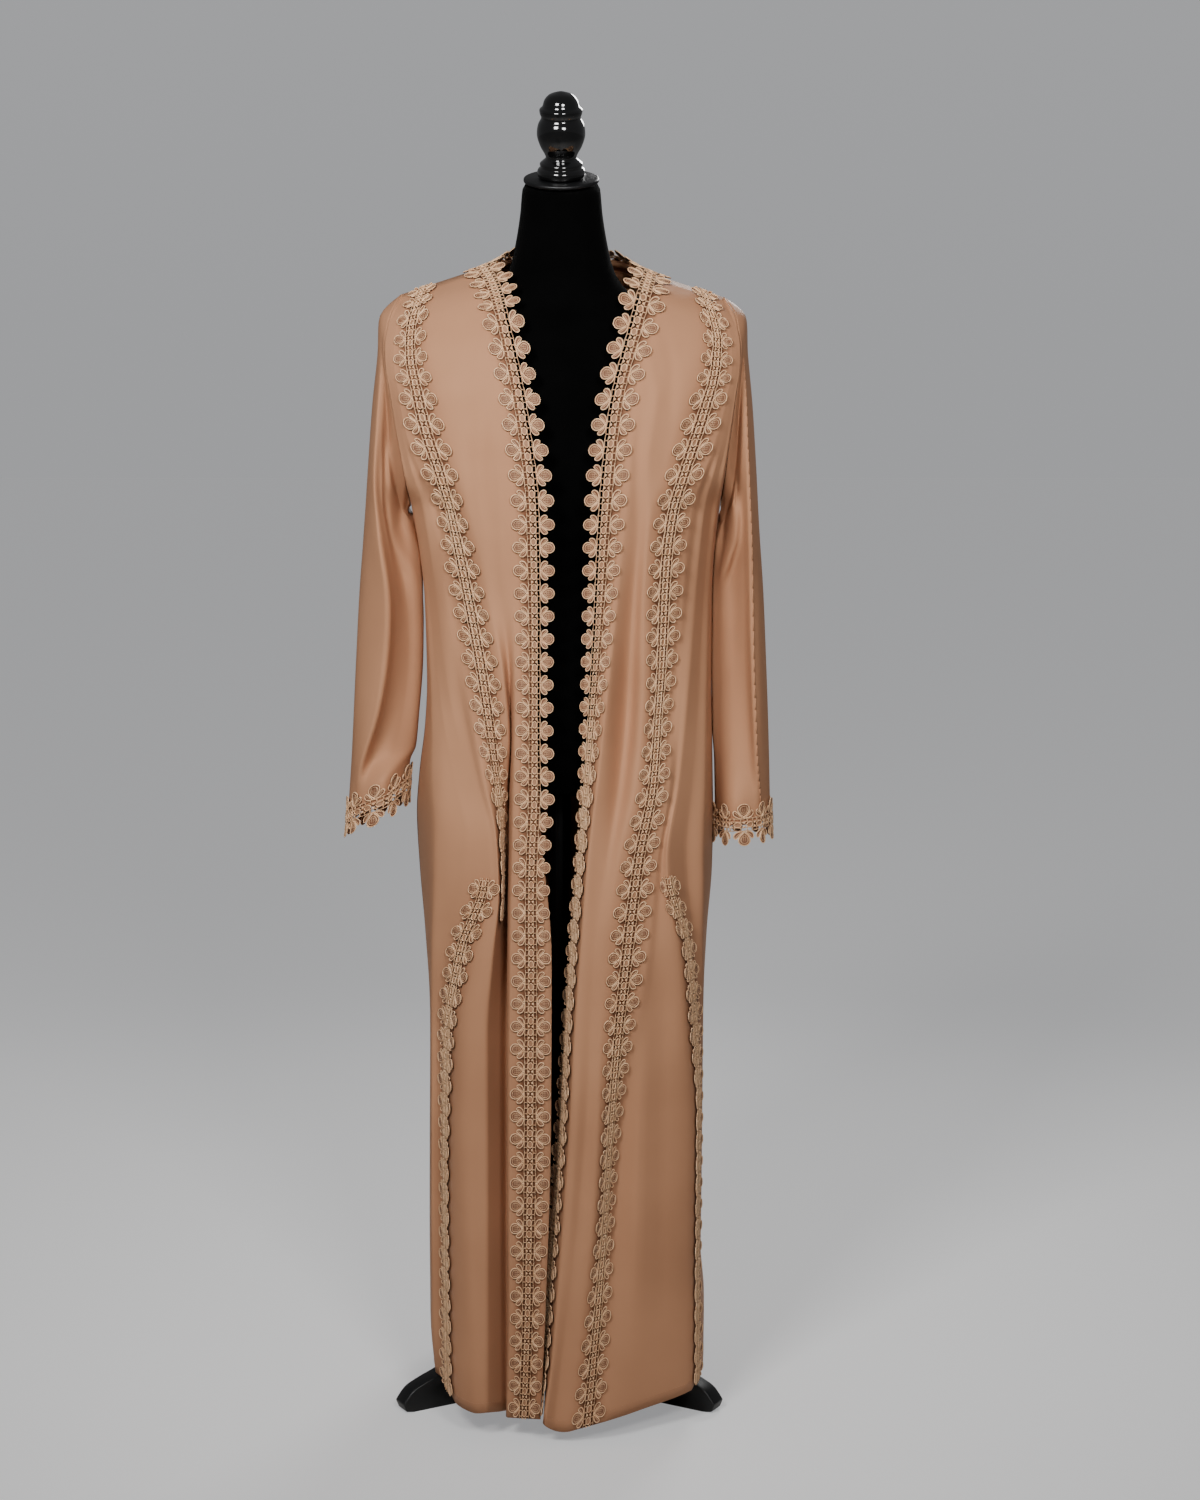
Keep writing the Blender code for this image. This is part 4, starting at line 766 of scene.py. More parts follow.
class Finish:
    """A material, with patterns that stay on the object."""

    def __init__(self, name, colour, roughness, **sockets):
        self.material = bpy.data.materials.new(name)
        self.material.use_nodes = True
        self.tree = self.material.node_tree
        self.inputs = self.tree.nodes["Principled BSDF"].inputs
        sockets.update(Base_Color=linear(colour), Roughness=roughness)
        for key, value in sockets.items():
            self.inputs[key.replace("_", " ")].default_value = value

    def feed(self, key, output):
        """Link an output to one of the shader's inputs."""
        self.tree.links.new(output, self.inputs[key])

    def place(self):
        """Where on the object a point lies."""
        return node(self.tree, "ShaderNodeTexCoord").outputs["Object"]

    def cloud(self, scale, detail, place=None):
        """Soft noise at a scale, on the object if no place is given."""
        return node(self.tree, "ShaderNodeTexNoise", inputs={
            "Vector": place or self.place(), "Scale": scale, "Detail": detail}).outputs["Fac"]

    def dye(self, pattern, low, high):
        """Colour of a pattern between two stops, each a position and a colour."""
        ramp = node(self.tree, "ShaderNodeValToRGB", inputs={"Fac": pattern})
        for stop, (position, colour) in zip(ramp.color_ramp.elements, (low, high)):
            stop.position, stop.color = position, linear(colour)
        return ramp.outputs["Color"]

    def colour(self, dye, attribute, tone):
        """The dye, mixed towards a painted tone as far as an attribute of the mesh says."""
        share = node(self.tree, "ShaderNodeAttribute", {"attribute_name": attribute})
        mix = node(self.tree, "ShaderNodeMix", {"data_type": "RGBA"}, {
            0: share.outputs["Fac"], 6: dye, 7: linear(tone)})
        self.feed("Base Color", mix.outputs[2])

    def gloss(self, pattern, low, high):
        """Roughness that follows a pattern."""
        span = node(self.tree, "ShaderNodeMapRange", inputs={
            "Value": pattern, "To Min": low, "To Max": high})
        self.feed("Roughness", span.outputs["Result"])

    def bump(self, pattern, strength, distance):
        """Relief that follows a pattern; returns the material, as this is its last touch."""
        relief = node(self.tree, "ShaderNodeBump", inputs={
            "Height": pattern, "Strength": strength, "Distance": distance})
        self.feed("Normal", relief.outputs["Normal"])
        return self.material


# Polyester satin crepe, woven with a smooth face: a broad soft gloss that runs down the folds, a
# slightly uneven dye, and a fine crepe grain drawn at 0.9 mm, coarser than its 0.3 mm, to show.
# Under the lace's ladders the cloth is painted darker: painted shade of the ladders' gaps.
def satin_crepe():
    satin = Finish("satin_crepe", "#AE7F61", 0.5, Sheen_Weight=0.04, Sheen_Roughness=0.4,
                   Specular_IOR_Level=0.15, Specular_Tint=linear("#FFC8A0"),
                   Sheen_Tint=linear("#FFD2B4"))
    dye = satin.dye(satin.cloud(7.0, 3.0), (0.3, "#A6785A"), (0.7, "#B28262"))
    # painted shade: the shade attribute darkens the cloth under the lace's ladders towards #6B4734
    satin.colour(dye, "shade", "#6B4734")
    stretch = node(satin.tree, "ShaderNodeMapping", inputs={
        "Vector": satin.place(), "Scale": (1.0, 1.0, 0.35)})
    grain = satin.cloud(1100.0, 2.0, stretch.outputs["Vector"])
    satin.gloss(grain, 0.42, 0.56)
    return satin.bump(grain, 0.14, 0.0003)


# Guipure lace of twisted polyester thread: matt cords, lighter and yellower than the satin, whose
# twist shows as fine slanting ribs 0.9 mm apart, and the thinner stitching inside the petals and
# rings painted darker: painted shade of the gaps between its threads.
def guipure_lace():
    lace = Finish("guipure_lace", "#DEAE7E", 0.66, Sheen_Weight=0.08, Sheen_Roughness=0.5)
    dye = lace.dye(lace.cloud(160.0, 2.0), (0.25, "#DAA97C"), (0.75, "#F0C79C"))
    # painted shade: the tone attribute darkens the stitching inside petals and rings towards
    # #744A30
    lace.colour(dye, "tone", "#744A30")
    twist = node(lace.tree, "ShaderNodeTexWave", {"bands_direction": "DIAGONAL"}, {
        "Vector": lace.place(), "Scale": 350.0, "Distortion": 1.5})
    return lace.bump(twist.outputs["Fac"], 0.35, 0.0004)


# Cotton velvet over foam: a deep black pile that only lights up where the surface turns away.
def black_velvet():
    velvet = Finish("black_velvet", "#020202", 0.95, Sheen_Weight=0.03, Sheen_Roughness=0.35,
                    Specular_IOR_Level=0.03)
    brushed = velvet.dye(velvet.cloud(22.0, 4.0), (0.0, "#010101"), (1.0, "#050505"))
    velvet.feed("Base Color", brushed)
    return velvet.bump(velvet.cloud(900.0, 3.0), 0.5, 0.0006)


# Turned beech under several coats of black lacquer: a mirror gloss with a trace of orange peel.
def black_lacquer():
    lacquer = Finish("black_lacquer", "#060606", 0.10, Coat_Weight=1.0, Coat_Roughness=0.04)
    return lacquer.bump(lacquer.cloud(240.0, 1.0), 0.04, 0.0005)


# Painted board and steel of the stand: satin black, a little scuffed so that its gloss varies.
def satin_black():
    paint = Finish("satin_black", "#0A0A0B", 0.38)
    scuff = paint.cloud(60.0, 5.0)
    paint.gloss(scuff, 0.28, 0.5)
    return paint.bump(scuff, 0.08, 0.0005)


# --- lace ---
class Motif:
    """Points, faces and tones of one repeat of the lace."""

    def __init__(self):
        self.points, self.faces, self.tones, self.flat = [], [], [], set()

    def add(self, points, part):
        """Add a part's points; returns the number of the first."""
        base = len(self.points)
        self.points += points
        self.tones += [PAINTED_TONES[part]] * len(points)
        return base

    def skin(self, base, rings, sides, closed=False):
        """Faces between rings of points that follow one another."""
        for k in range(rings if closed else rings - 1):
            n = (k + 1) % rings
            for j in range(sides):
                i = (j + 1) % sides
                self.faces.append((base + sides * k + j, base + sides * k + i,
                                   base + sides * n + i, base + sides * n + j))

    def thread(self, path, radius, part="cord", closed=False, tall=1.0):
        """Lay one cord along a flat path of (x, y, height) points."""
        path, points = [Vector(p) for p in path], []
        for k in range(len(path)):
            before, point, after, _ = four_near(path, k, closed)
            along = (after - before).normalized()
            side = Vector((-along.y, along.x, 0)).normalized() * radius
            up = Vector((0, 0, radius * tall))
            points += [point + side, point + up, point - side, point - up]
        base = self.add(points, part)
        self.skin(base, len(path), 4, closed)
        if not closed:
            last = base + 4 * (len(path) - 1)
            self.faces += [(base + 3, base + 2, base + 1, base),
                           (last, last + 1, last + 2, last + 3)]

    def puff(self, centre):
        """A raised knot of satin stitch."""
        x, y, z = centre
        points = []
        for i in range(PUFF_RINGS):
            tilt = math.pi / 2 * i / PUFF_RINGS
            for j in range(PUFF_SIDES):
                turn = 2 * math.pi * j / PUFF_SIDES
                points.append(Vector((x + PUFF[0] * math.cos(tilt) * math.cos(turn),
                                      y + PUFF[1] * math.cos(tilt) * math.sin(turn),
                                      z + PUFF[2] * math.sin(tilt))))
        base = self.add(points + [Vector((x, y, z + PUFF[2])), Vector(centre)], "knot")
        self.skin(base, PUFF_RINGS, PUFF_SIDES)
        tip, last = base + len(points), base + (PUFF_RINGS - 1) * PUFF_SIDES
        for j in range(PUFF_SIDES):
            k = (j + 1) % PUFF_SIDES
            self.faces += [(last + j, last + k, tip), (base + k, base + j, tip + 1)]

    def web(self, outline, drop, part="web"):
        """Fill an outline with a thin plate of close stitching, below its cord."""
        count, first = len(outline), len(self.faces)
        base = self.add([Vector((p.x, p.y, p.z - drop + lift)) for lift in (0.0, WEB)
                         for p in outline], part)
        self.faces += [tuple(range(base + count, base + 2 * count)),
                       tuple(reversed(range(base, base + count)))]
        self.skin(base, 2, count)
        self.flat.update(range(first, len(self.faces)))

    def made(self, name, yarn):
        """The motif as an object, its parts' tones as an attribute."""
        obj = add_object(name, self.points, self.faces, yarn)
        add_values(obj.data, "tone", self.tones)
        for face in obj.data.polygons:
            face.use_smooth = face.index not in self.flat
        return obj


def shrunk(path, share):
    """The path drawn in towards its own middle."""
    middle = sum(path, Vector()) / len(path)
    return [Vector((middle.x + (p.x - middle.x) * share, middle.y + (p.y - middle.y) * share, p.z))
            for p in path]


def fan(motif, right):
    """A fan of three petals on one edge of the band."""
    def place(path, sign=1):
        spots = [(FAN_FOOT - x, LACE_REPEAT / 2 + sign * y, z) for x, y, z in path]
        return [Vector((LACE_WIDTH - x if right else x, y, z)) for x, y, z in spots]

    lobe = place(FAN_LOBE) + place(FAN_LOBE[-2::-1], -1)
    motif.thread(rounded(lobe, PETAL_STEPS), CORD, closed=True)
    motif.thread(shrunk(lobe, LOBE_INNER), VEIN, "vein", True)
    motif.web(lobe, CORD)
    for sign in (-1, 1):
        leaf = place(FAN_LEAF, sign)
        motif.thread(rounded(leaf, PETAL_STEPS), CORD, closed=True)
        motif.web(leaf, CORD)
        motif.thread(place(LEAF_VEIN, sign), VEIN, "vein")
    long, wide = LOBE_REACH
    for y in NET_ROWS:
        run = long * math.sqrt(1 - (y / wide) ** 2)
        ends = [(LOBE_MIDDLE + end * run, y, z) for end, z in zip((-1, 1), NET_HEIGHTS)]
        motif.thread(place(ends), NET, "net")
    for x in NET_COLUMNS:
        run = wide * math.sqrt(1 - ((x - LOBE_MIDDLE) / long) ** 2)
        rise = NET_RISE[1] + NET_RISE[2] * (x - NET_RISE[0])
        motif.thread(place([(x, -run, rise), (x, run, rise)]), NET, "net")
    motif.puff(place([FAN_KNOT])[0])


def lace_motif(yarn):
    """One repeat of the galloon, flat: a fan on each edge and the ladder between them."""
    motif = Motif()
    fan(motif, False)
    fan(motif, True)
    half = 2 * LADDER_BARS
    rails = [[(x + RAIL_BOW[k % 4], LACE_REPEAT * k / half, LADDER_HEIGHT)
              for k in range(half + 1)] for x in LADDER_RAILS]
    bars = [[(x, LACE_REPEAT * (k + 0.5) / LADDER_BARS, LADDER_HEIGHT) for x in ends]
            for k in range(LADDER_BARS) for ends in (LADDER_RAILS[:2], LADDER_RAILS[2:])]
    for path in rails + bars:
        motif.thread(path, LADDER_CORD, "rail", tall=LADDER_TALL)
    middle, (reach, height) = LACE_WIDTH / 2, KNOT_PAIR
    for k in range(RINGS):
        y = LACE_REPEAT * (k + 0.5) / RINGS
        turns = [2 * math.pi * j / RING_SIDES for j in range(RING_SIDES)]
        ring = [Vector((middle + RING[0] * math.cos(turn), y + RING[1] * math.sin(turn), RING[2]))
                for turn in turns]
        motif.thread(ring, LADDER_CORD, closed=True, tall=LADDER_TALL)
        motif.web(ring, RING_DROP, "disc")
        for side in (-1, 1):
            motif.puff((middle + side * reach, y + LACE_REPEAT / 4, height))
    return motif.made("lace_motif", yarn)


def lace_tree():
    """Geometry Nodes that repeat the motif along a band and bend it onto the band's surface."""
    tree = bpy.data.node_groups.new("lace_along_band", "GeometryNodeTree")
    sockets = {"Band": "Geometry", "Motif": "Object", "Repeats": "Int", "Pitch": "Float",
               "Width": "Float", "Lift": "Float", "Thread": "Material"}
    for name, kind in sockets.items():
        tree.interface.new_socket(name, in_out="INPUT", socket_type="NodeSocket" + kind)
    tree.interface.new_socket("Lace", in_out="OUTPUT", socket_type="NodeSocketGeometry")
    given = node(tree, "NodeGroupInput").outputs

    def number(operation, a, b):
        return node(tree, "ShaderNodeMath", {"operation": operation}, {0: a, 1: b}).outputs[0]

    def kept(value):
        return node(tree, "ShaderNodeClamp", inputs={
            "Value": value, "Min": BAND_EDGE, "Max": 1 - BAND_EDGE}).outputs[0]

    step = node(tree, "ShaderNodeCombineXYZ", inputs={"Y": given["Pitch"]})
    line = node(tree, "GeometryNodeMeshLine", inputs={
        "Count": given["Repeats"], "Offset": step.outputs[0]})
    motif = node(tree, "GeometryNodeObjectInfo", inputs={"Object": given["Motif"]})
    laid = node(tree, "GeometryNodeInstanceOnPoints", inputs={
        "Points": line.outputs["Mesh"], "Instance": motif.outputs["Geometry"]})
    real = node(tree, "GeometryNodeRealizeInstances", inputs={
        "Geometry": laid.outputs["Instances"]})
    place = node(tree, "GeometryNodeInputPosition").outputs[0]
    flat = node(tree, "ShaderNodeSeparateXYZ", inputs={0: place}).outputs
    length = number("MULTIPLY", given["Pitch"], given["Repeats"])
    spot = node(tree, "ShaderNodeCombineXYZ", inputs={
        "X": kept(number("DIVIDE", flat["X"], given["Width"])),
        "Y": kept(number("DIVIDE", flat["Y"], length))})
    chart = node(tree, "GeometryNodeInputNamedAttribute", {"data_type": "FLOAT_VECTOR"},
                 {"Name": "band"})
    facing = node(tree, "GeometryNodeInputNormal").outputs[0]
    base, up = [node(tree, "GeometryNodeSampleUVSurface", {"data_type": "FLOAT_VECTOR"}, {
        "Mesh": given["Band"], "Value": value, "UV Map": chart.outputs["Attribute"],
        "Sample UV": spot.outputs[0]}).outputs["Value"] for value in (place, facing)]
    raised = node(tree, "ShaderNodeVectorMath", {"operation": "SCALE"}, {
        0: up, "Scale": number("ADD", flat["Z"], given["Lift"])})
    bent = node(tree, "ShaderNodeVectorMath", {"operation": "ADD"}, {
        0: base, 1: raised.outputs[0]})
    moved = node(tree, "GeometryNodeSetPosition", inputs={
        "Geometry": real.outputs["Geometry"], "Position": bent.outputs[0]})
    dressed = node(tree, "GeometryNodeSetMaterial", inputs={
        "Geometry": moved.outputs["Geometry"], "Material": given["Thread"]})
    node(tree, "NodeGroupOutput", inputs={"Lace": dressed.outputs["Geometry"]})
    return tree


class Trim:
    """One repeat of something and how it is laid: its pitch, width and lift."""

    def __init__(self, tree, motif, pitch, width, lift):
        self.tree, self.motif, self.pitch, self.width = tree, motif, pitch, width
        self.values = {"Motif": motif, "Pitch": pitch * MM, "Width": width * MM,
                       "Lift": lift * MM, "Thread": motif.data.materials[0]}

    def lay(self, name, strip, petals, centre=(0, 0)):
        """Lay it on a strip of points; petals is the running count of repeats at its rows."""
        count, total = len(strip[0]), petals[-1]
        obj = add_object(name, *grid(strip), self.values["Thread"])
        chart = obj.data.uv_layers.new(name="band")
        for loop in obj.data.loops:
            i, k = divmod(loop.vertex_index, count)
            chart.data[loop.index].uv = (k / (count - 1), petals[i] / total)
        face_outwards(obj, centre)
        modifier = obj.modifiers.new("lace", "NODES")
        modifier.node_group = self.tree
        values = dict(self.values, Repeats=int(total))
        for item in self.tree.interface.items_tree:
            if item.name in values:
                modifier[item.identifier] = values[item.name]
        return applied(obj)


def between(outer, inner):
    """Strip of points from one line to the other."""
    return [[a.lerp(b, k / STRIP_CELLS) for k in range(STRIP_CELLS + 1)]
            for a, b in zip(outer, inner)]


def count_petals(outer, inner):
    """Running count of petals at fine points, whole numbers at every solid's row."""
    petals = [0.0]
    for start in range(0, len(outer) - 1, FINE_ROWS):
        end = start + FINE_ROWS
        length = ((outer[end] + inner[end]) - (outer[start] + inner[start])).length / 2
        repeats = max(1, round(length / LACE_REPEAT))
        petals += [petals[start] + repeats * k / FINE_ROWS for k in range(1, FINE_ROWS + 1)]
    return petals


def along_row(row, x):
    """The point of a row, which runs from the side to the front, at a given x."""
    for a, b in zip(row, row[1:]):
        if min(a.x, b.x) <= x <= max(a.x, b.x) and a.x != b.x:
            return a.lerp(b, (x - a.x) / (b.x - a.x))
    return row[-1].copy()


def band_edges(rows, right, line, first, last):
    """Outer and inner point and sideways lean of a lace band at each of its rows."""
    j, heights = column_of(line), row_heights()
    start, edges = heights[first * FINE_ROWS], []
    for i in range(first * FINE_ROWS, last * FINE_ROWS + 1):
        outer, inner, lean = rows[i][j], rows[i][j + FINE_CELLS], 0.0
        if line == "front_out":
            inner = outer + (inner - outer) / at_height(EDGE_SHARE, heights[i])[right]
        if line == "branch_out":
            fade = max(0.0, 1 - (start - heights[i]) / BRANCH_LEAN[1])
            lean = BRANCH_LEAN[0] * fade * fade * (3 - 2 * fade) * (-1 if right else 1)
        edges.append((outer, inner, lean))
    return edges


def panel_lace(name, trim, rows, right, line, first, last):
    """Lace along one line of a front panel, from one of the solid's rows to another."""
    outer, inner, leans = zip(*band_edges(rows, right, line, first, last))
    strip = between(outer, inner)
    for k, lean in enumerate(leans):
        if lean:
            strip[k] = [along_row(rows[first * FINE_ROWS + k], point.x + lean)
                        for point in strip[k]]
    return trim.lay(name, strip, count_petals(outer, inner))


def painted_ladder_shade(rows, right, bands):
    """How dark each point of a front is painted under the ladders of the lace bands: painted shade.
    """
    shade = [[0.0] * len(rows[0]) for _ in rows]
    near, far = PAINTED_SHADE_REACH
    for line, first, last in bands:
        edges = band_edges(rows, right, line, first, last)[PAINTED_SHADE_START:]
        for i, (outer, inner, lean) in enumerate(edges, first * FINE_ROWS + PAINTED_SHADE_START):
            for j, point in enumerate(rows[i]):
                across = (point.x - outer.x - lean) / (inner.x - outer.x)
                shade[i][j] = max(shade[i][j], unit((far - abs(across - 0.5)) / (far - near)))
    return [value for row in shade for value in row]


def cuff_lace(name, trim, rings):
    """The two halves of the lace round a sleeve's end."""
    upper, lower = rings[-1 - SLEEVE_STEPS], rings[-1]
    downs = [(low - up).normalized() for up, low in zip(upper, lower)]
    top = [low - down * CUFF_TOP for low, down in zip(lower, downs)]
    bottom = [low + down * CUFF_HANG for low, down in zip(lower, downs)]
    centre = sum(lower, Vector()) / len(lower)
    half, made = len(lower) // 2, []
    for part, start in (("front", 0), ("back", half)):
        picks = [(start + k) % len(lower) for k in range(half + 1)]
        strip = between([top[k] for k in picks], [bottom[k] for k in picks])
        petals = [k * CUFF_PETALS / half for k in range(half + 1)]
        piece = trim.lay(name + part + "_guipure", strip, petals, centre)
        made.append(carry(piece, "guipure_lace", name + part))
    return made


def hem_stitches(name, trim, rows):
    """A row of stitches through the turned-up hem of a panel."""
    line = [low.lerp(up, HEM_TURN) for low, up in zip(rows[-1], rows[-2])]
    half, runs = Vector((0, 0, trim.width / 2)), [0.0]
    for a, b in zip(line, line[1:]):
        runs.append(runs[-1] + (b - a).length)
    count = round(runs[-1] / trim.pitch)
    stitches = trim.lay(name, [[p + half, p - half] for p in line],
                        [count * run / runs[-1] for run in runs])
    return carry(stitches, "satin_crepe")


def sleeve_crease(name, trim, rings, centre):
    """The pressed edge down the front of a sleeve."""
    line = [ring[CREASE_COLUMN] for ring in rings[SLEEVE_STEPS:-1]]
    half = Vector((trim.width / 2, 0, 0))
    count = round(sum((b - a).length for a, b in zip(line, line[1:])) / trim.pitch)
    crease = trim.lay(name, [[p - half, p + half] for p in line],
                      [count * k / (len(line) - 1) for k in range(len(line))], centre)
    return carry(crease, "satin_crepe")


# --- form and stand ---
def turned(name, rings, material):
    """A closed body through rings of points, its ends closed by fans."""
    count = len(rings[0])
    points, faces = grid(rings, closed=True)
    for ring, base, step in ((rings[0], 0, -1), (rings[-1], (len(rings) - 1) * count, 1)):
        faces += [(len(points), base + (j + 1) % count, base + j)[::step] for j in range(count)]
        points.append(sum(ring, Vector()) / count)
    return normals_out(add_object(name, points, faces, material))


def form_torso(material):
    """The dress form's body, with its leaning neck."""
    rings = []
    tilt = math.tan(math.radians(NECK_TILT))
    top, foot = FORM[0][0], FORM[-1][0]
    steps, sides = FORM_GRID
    for i in range(steps + 1):
        height = top + (foot - top) * i / steps
        half, front, back = at_height(FORM, height)
        lean = unit((height - NECK_LEAN[0]) / NECK_LEAN[1])
        ring = []
        for k in range(sides):
            angle = 2 * math.pi * k / sides
            c, s = math.cos(angle), math.sin(angle)
            x = FORM_X + half * math.copysign(abs(c) ** (2 / FORM_POWER), c)
            y = (back if s > 0 else -front) * math.copysign(abs(s) ** (2 / FORM_POWER), s)
            ring.append(Vector((x, y, height + lean * tilt * (y - CAP_CENTRE[1]))))
        rings.append(ring)
    return turned("velvet_torso", rings, material)


def round_rings(profile):
    """Rings of a piece turned on the neck's axis, from its (radius, height) rows."""
    lean = Matrix.Translation(CAP_CENTRE) @ Matrix.Rotation(math.radians(NECK_TILT), 4, "X")
    turns = [2 * math.pi * k / TURNED_SIDES for k in range(TURNED_SIDES)]
    return [[lean @ Vector((r * math.cos(turn), r * math.sin(turn), h)) for turn in turns]
            for r, h in profile]


def neck_fittings(cap_material, finial_material):
    """The disc on the neck and the knob above it."""
    radius, thick = CAP
    cap = [(radius - inset, GAP + rise) for inset, rise in CAP_EDGE]
    cap += [(radius - inset, thick - rise) for inset, rise in reversed(CAP_EDGE)]
    disc = turned("neck_disc", round_rings(cap), cap_material)
    profile = rounded([(r, h + thick + GAP, 0) for r, h in FINIAL], FINIAL_STEPS, closed=False)
    profile = [(p.x, p.y) for p in profile]
    profile.append((FINIAL_TIP[0], profile[-1][1] + FINIAL_TIP[1]))
    return disc, turned("turned_finial", round_rings(profile), finial_material)


def board_legs(material):
    """Three board legs cut from one curved outline, their edges eased."""
    outline = [p for path in (LEG_TOP, LEG_BOTTOM)
               for p in rounded([(r, 0, z) for r, z in path], LEG_STEPS, closed=False)]
    count = len(outline)
    width, segments, least = LEG_EASE
    made = []
    for number, angle in enumerate(LEG_ANGLES, start=1):
        turn = Matrix.Rotation(math.radians(angle), 4, "Z")
        points = [turn @ Vector((p.x, side * LEG_THICK / 2, max(p.z, 0.0))) for side in (-1, 1)
                  for p in outline]
        faces = [tuple(range(count)), tuple(reversed(range(count, 2 * count)))]
        faces += [(k, k + count, (k + 1) % count + count, (k + 1) % count)
                  for k in range(count)]
        leg = normals_out(add_object("board_leg_%d" % number, points, faces, material))
        eased = leg.modifiers.new("eased", "BEVEL")
        eased.width, eased.segments, eased.limit_method = width * MM, segments, "ANGLE"
        eased.angle_limit = math.radians(least)
        applied(leg).data.set_sharp_from_angle(angle=math.radians(least))
        made.append(leg)
    return made


# --- making ---
def carry(piece, slot, *nodes):
    """Tie a piece to the body and, where given, hide the solids it stands for; slot, its finish, is
    not used.
    """
    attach(piece, "root")
    if nodes:
        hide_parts(*nodes)
    return piece


def make_side(right, satin, lace, stitch, ridge):
    """One front with its sleeve and their trimmings."""
    side = "right" if right else "left"
    rows = fine_front(right)
    start = UNDERARM_ROW + BRANCH_START
    end = HEM_ROW if right else UNDERARM_ROW + PRINCESS_END
    bands = {"lace_front_": ("front_out", 0, HEM_ROW),
             "lace_branch_": ("branch_out", start, HEM_ROW),
             "lace_princess_": ("princess_out", 0, end)}
    # the satin is painted darker under the lace's ladders: painted shade
    cloth = sheet_wall("front_%s_satin" % side, grid(rows), (0, 0), satin,
                       painted_ladder_shade(rows, right, bands.values()))
    carry(cloth, "satin_crepe", "front_" + side)
    pieces = [carry(panel_lace(name + side + "_guipure", lace, rows, right, *band),
                    "guipure_lace", name + side) for name, band in bands.items()]
    pieces.append(hem_stitches("hem_stitches_" + side, stitch, rows))

    rings = fine_sleeve(rows, right)
    centre = sum(rings[len(rings) // 2], Vector()) / len(rings[0])
    tube = sheet_wall("sleeve_%s_satin" % side, grid(rings, closed=True), centre, satin)
    carry(tube, "satin_crepe", "sleeve_" + side)
    pieces = cuff_lace("lace_cuff_%s_" % side, lace, rings)
    if right:
        pieces.append(sleeve_crease("sleeve_crease", ridge, rings, centre))


def make_back(satin, lace, stitch):
    """The back, its collar strip and its trimmings."""
    rows = back_rows()
    points, faces = grid(rows)
    faces += [(len(points) + k, SIDE_CELLS + k, SIDE_CELLS + k + 1, len(points) + k + 1)
              for k in range(NECK_CELLS)]
    cloth = sheet_wall("back_satin", (points + neck_points(0.5), faces), (0, 0), satin)
    carry(cloth, "satin_crepe", "back")
    petals = [k * NECK_PETALS / NECK_CELLS for k in range(NECK_CELLS + 1)]
    collar = lace.lay("lace_back_neck_guipure", between(neck_points(0.0), neck_points(1.0)),
                      petals)
    carry(collar, "guipure_lace", "lace_back_neck")
    hem_stitches("hem_stitches_back", stitch, rows)


def make_form(velvet, lacquer, black):
    """The dress form with its fittings and its stand."""
    carry(form_torso(velvet), "black_velvet", "form_torso")
    disc, knob = neck_fittings(black, lacquer)
    carry(disc, "satin_black", "neck_cap")
    carry(knob, "black_lacquer", "finial")
    for number, leg in enumerate(board_legs(black), start=1):
        carry(leg, "satin_black", "leg_%d" % number)
    for name in ("pole", "hub"):
        for place in bpy.data.objects[name].material_slots:
            place.material = black


def main():
    """Make the finishes, the trimmings, the cloak, the form and the studio, in that order."""
    satin = satin_crepe()
    velvet, lacquer, black = black_velvet(), black_lacquer(), satin_black()
    tree = lace_tree()
    lace = Trim(tree, lace_motif(guipure_lace()), LACE_REPEAT, LACE_WIDTH, LACE_LIFT)
    stitch, ridge = Motif(), Motif()
    stitch.thread([(STITCH[1] / 2, y, 0.0) for y in STITCH_LONG], STITCH_THREAD)
    stitch = Trim(tree, stitch.made("hem_stitch", satin), *STITCH)
    ridge.thread([(CREASE[1] / 2, y, 0.0) for y in (0.0, CREASE[0] / 2, CREASE[0])],
                 CREASE_RIDGE[0], tall=CREASE_RIDGE[1])
    ridge = Trim(tree, ridge.made("crease_ridge", satin), *CREASE)
    for right in (False, True):
        make_side(right, satin, lace, stitch, ridge)
    make_back(satin, lace, stitch)
    make_form(velvet, lacquer, black)
    for trim in (lace, stitch, ridge):
        bpy.data.objects.remove(trim.motif, do_unlink=True)
    set_stage()


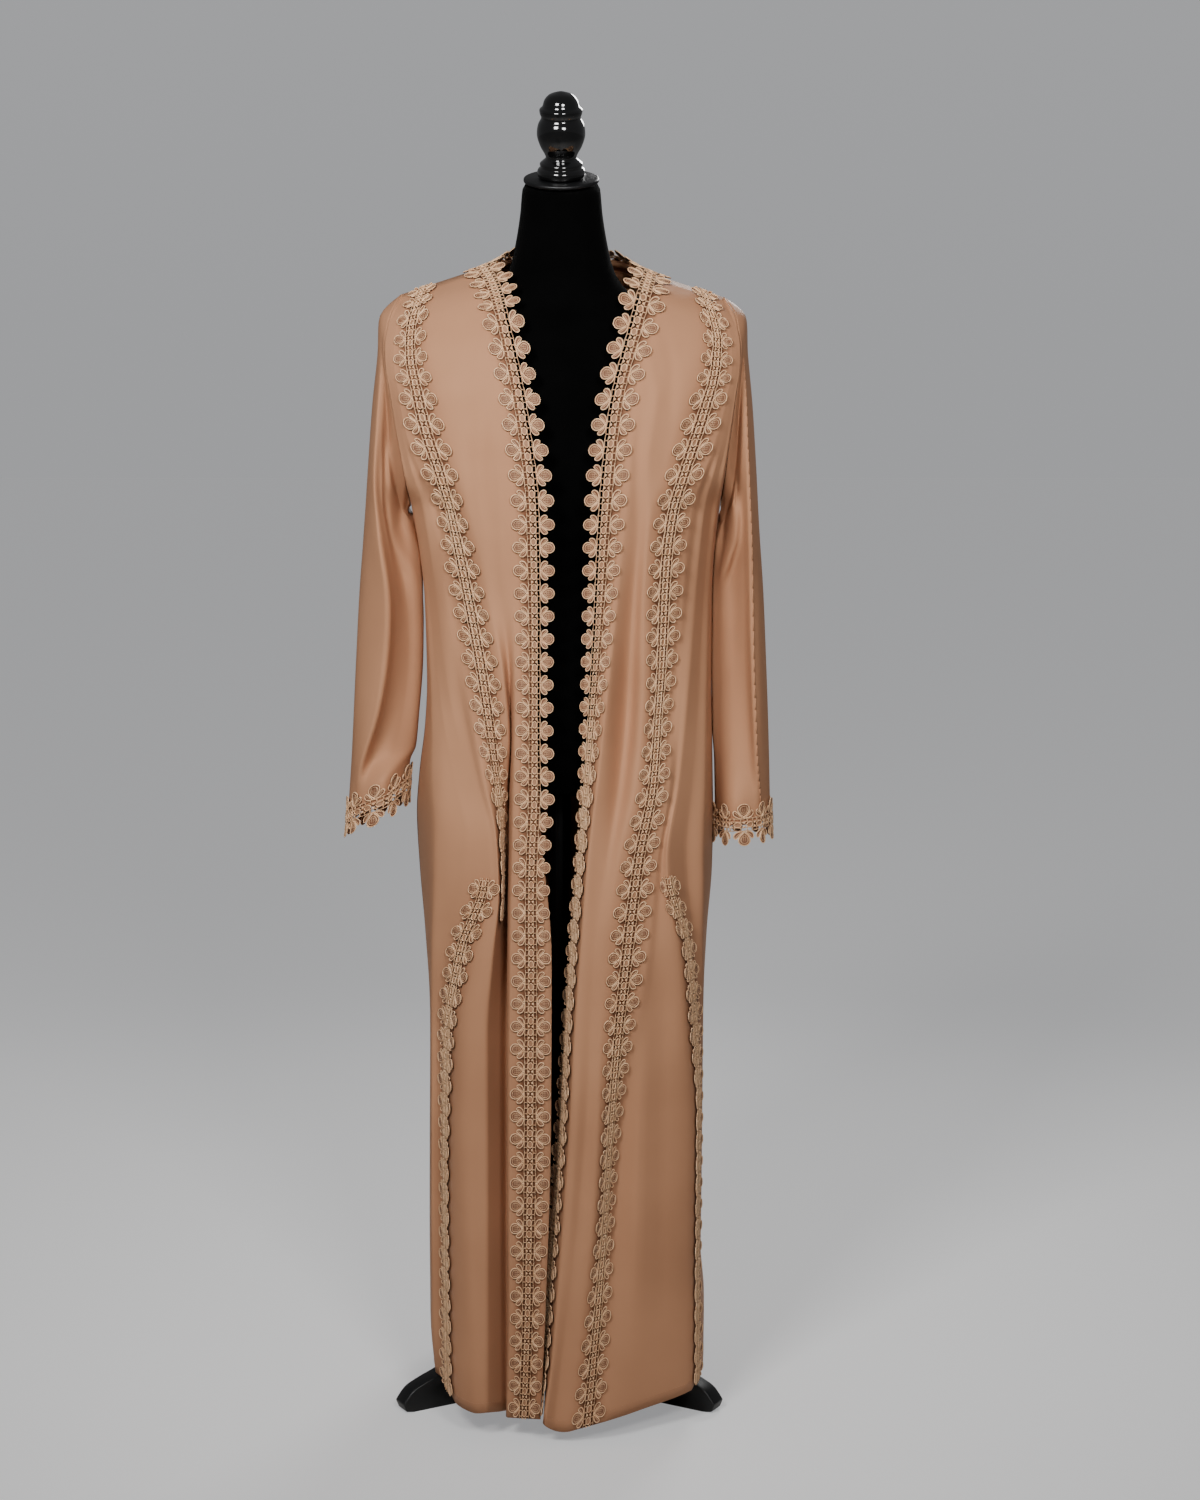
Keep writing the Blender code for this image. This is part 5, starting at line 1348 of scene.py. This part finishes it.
def set_stage():
    """Pale floor, soft studio light and the camera."""
    floor = Finish("pale_floor", "#D6D5D3", 0.9, Emission_Color=linear(STUDIO_PALE))
    seen = node(floor.tree, "ShaderNodeLightPath").outputs["Is Camera Ray"]
    glow = node(floor.tree, "ShaderNodeMath", {"operation": "MULTIPLY"}, {0: seen, 1: FLOOR_GLOW})
    floor.feed("Emission Strength", glow.outputs[0])
    bpy.ops.mesh.primitive_plane_add(size=FLOOR_SIZE, location=(0, 0, 0))
    plane = bpy.context.object
    plane.name = "studio_floor"
    plane.data.materials.append(floor.material)
    world = bpy.data.worlds.new("studio")
    bpy.context.scene.world = world
    world.use_nodes = True
    tree = world.node_tree
    # the room is paler to look at than the light it gives, so that the folds keep their shade,
    # and pales upwards from the far floor's tone
    ray = node(tree, "ShaderNodeLightPath")
    way = node(tree, "ShaderNodeSeparateXYZ", inputs={
        0: node(tree, "ShaderNodeTexCoord").outputs["Generated"]})
    pale = node(tree, "ShaderNodeMapRange", inputs={
        "Value": way.outputs["Z"], "From Max": ROOM_PALES, "To Min": ROOM_HORIZON,
        "To Max": ROOM_SEEN})
    strength = node(tree, "ShaderNodeMapRange", inputs={
        "Value": ray.outputs["Is Camera Ray"], "To Min": ROOM_LIGHT,
        "To Max": pale.outputs["Result"]})
    tree.nodes["Background"].inputs["Color"].default_value = linear(STUDIO_PALE)
    tree.links.new(strength.outputs["Result"], tree.nodes["Background"].inputs["Strength"])
    for name, place, aim, size, spread, power in STUDIO_LIGHTS:
        lamp = bpy.data.lights.new(name, "AREA")
        lamp.shape = "RECTANGLE"
        lamp.size, lamp.size_y = size
        lamp.spread, lamp.energy = math.radians(spread), power
        obj = placed(bpy.data.objects.new(name, lamp))
        obj.location = place
        obj.rotation_euler = (Vector(aim) - Vector(place)).to_track_quat("-Z", "Y").to_euler()
    camera = bpy.data.cameras.new("camera")
    camera.sensor_width, camera.lens = SENSOR, CAMERA_LENS
    obj = placed(bpy.data.objects.new("camera", camera))
    obj.location = CAMERA_PLACE
    obj.rotation_euler = (math.radians(90 - CAMERA_DOWN), 0, 0)
    bpy.context.scene.camera = obj


main()
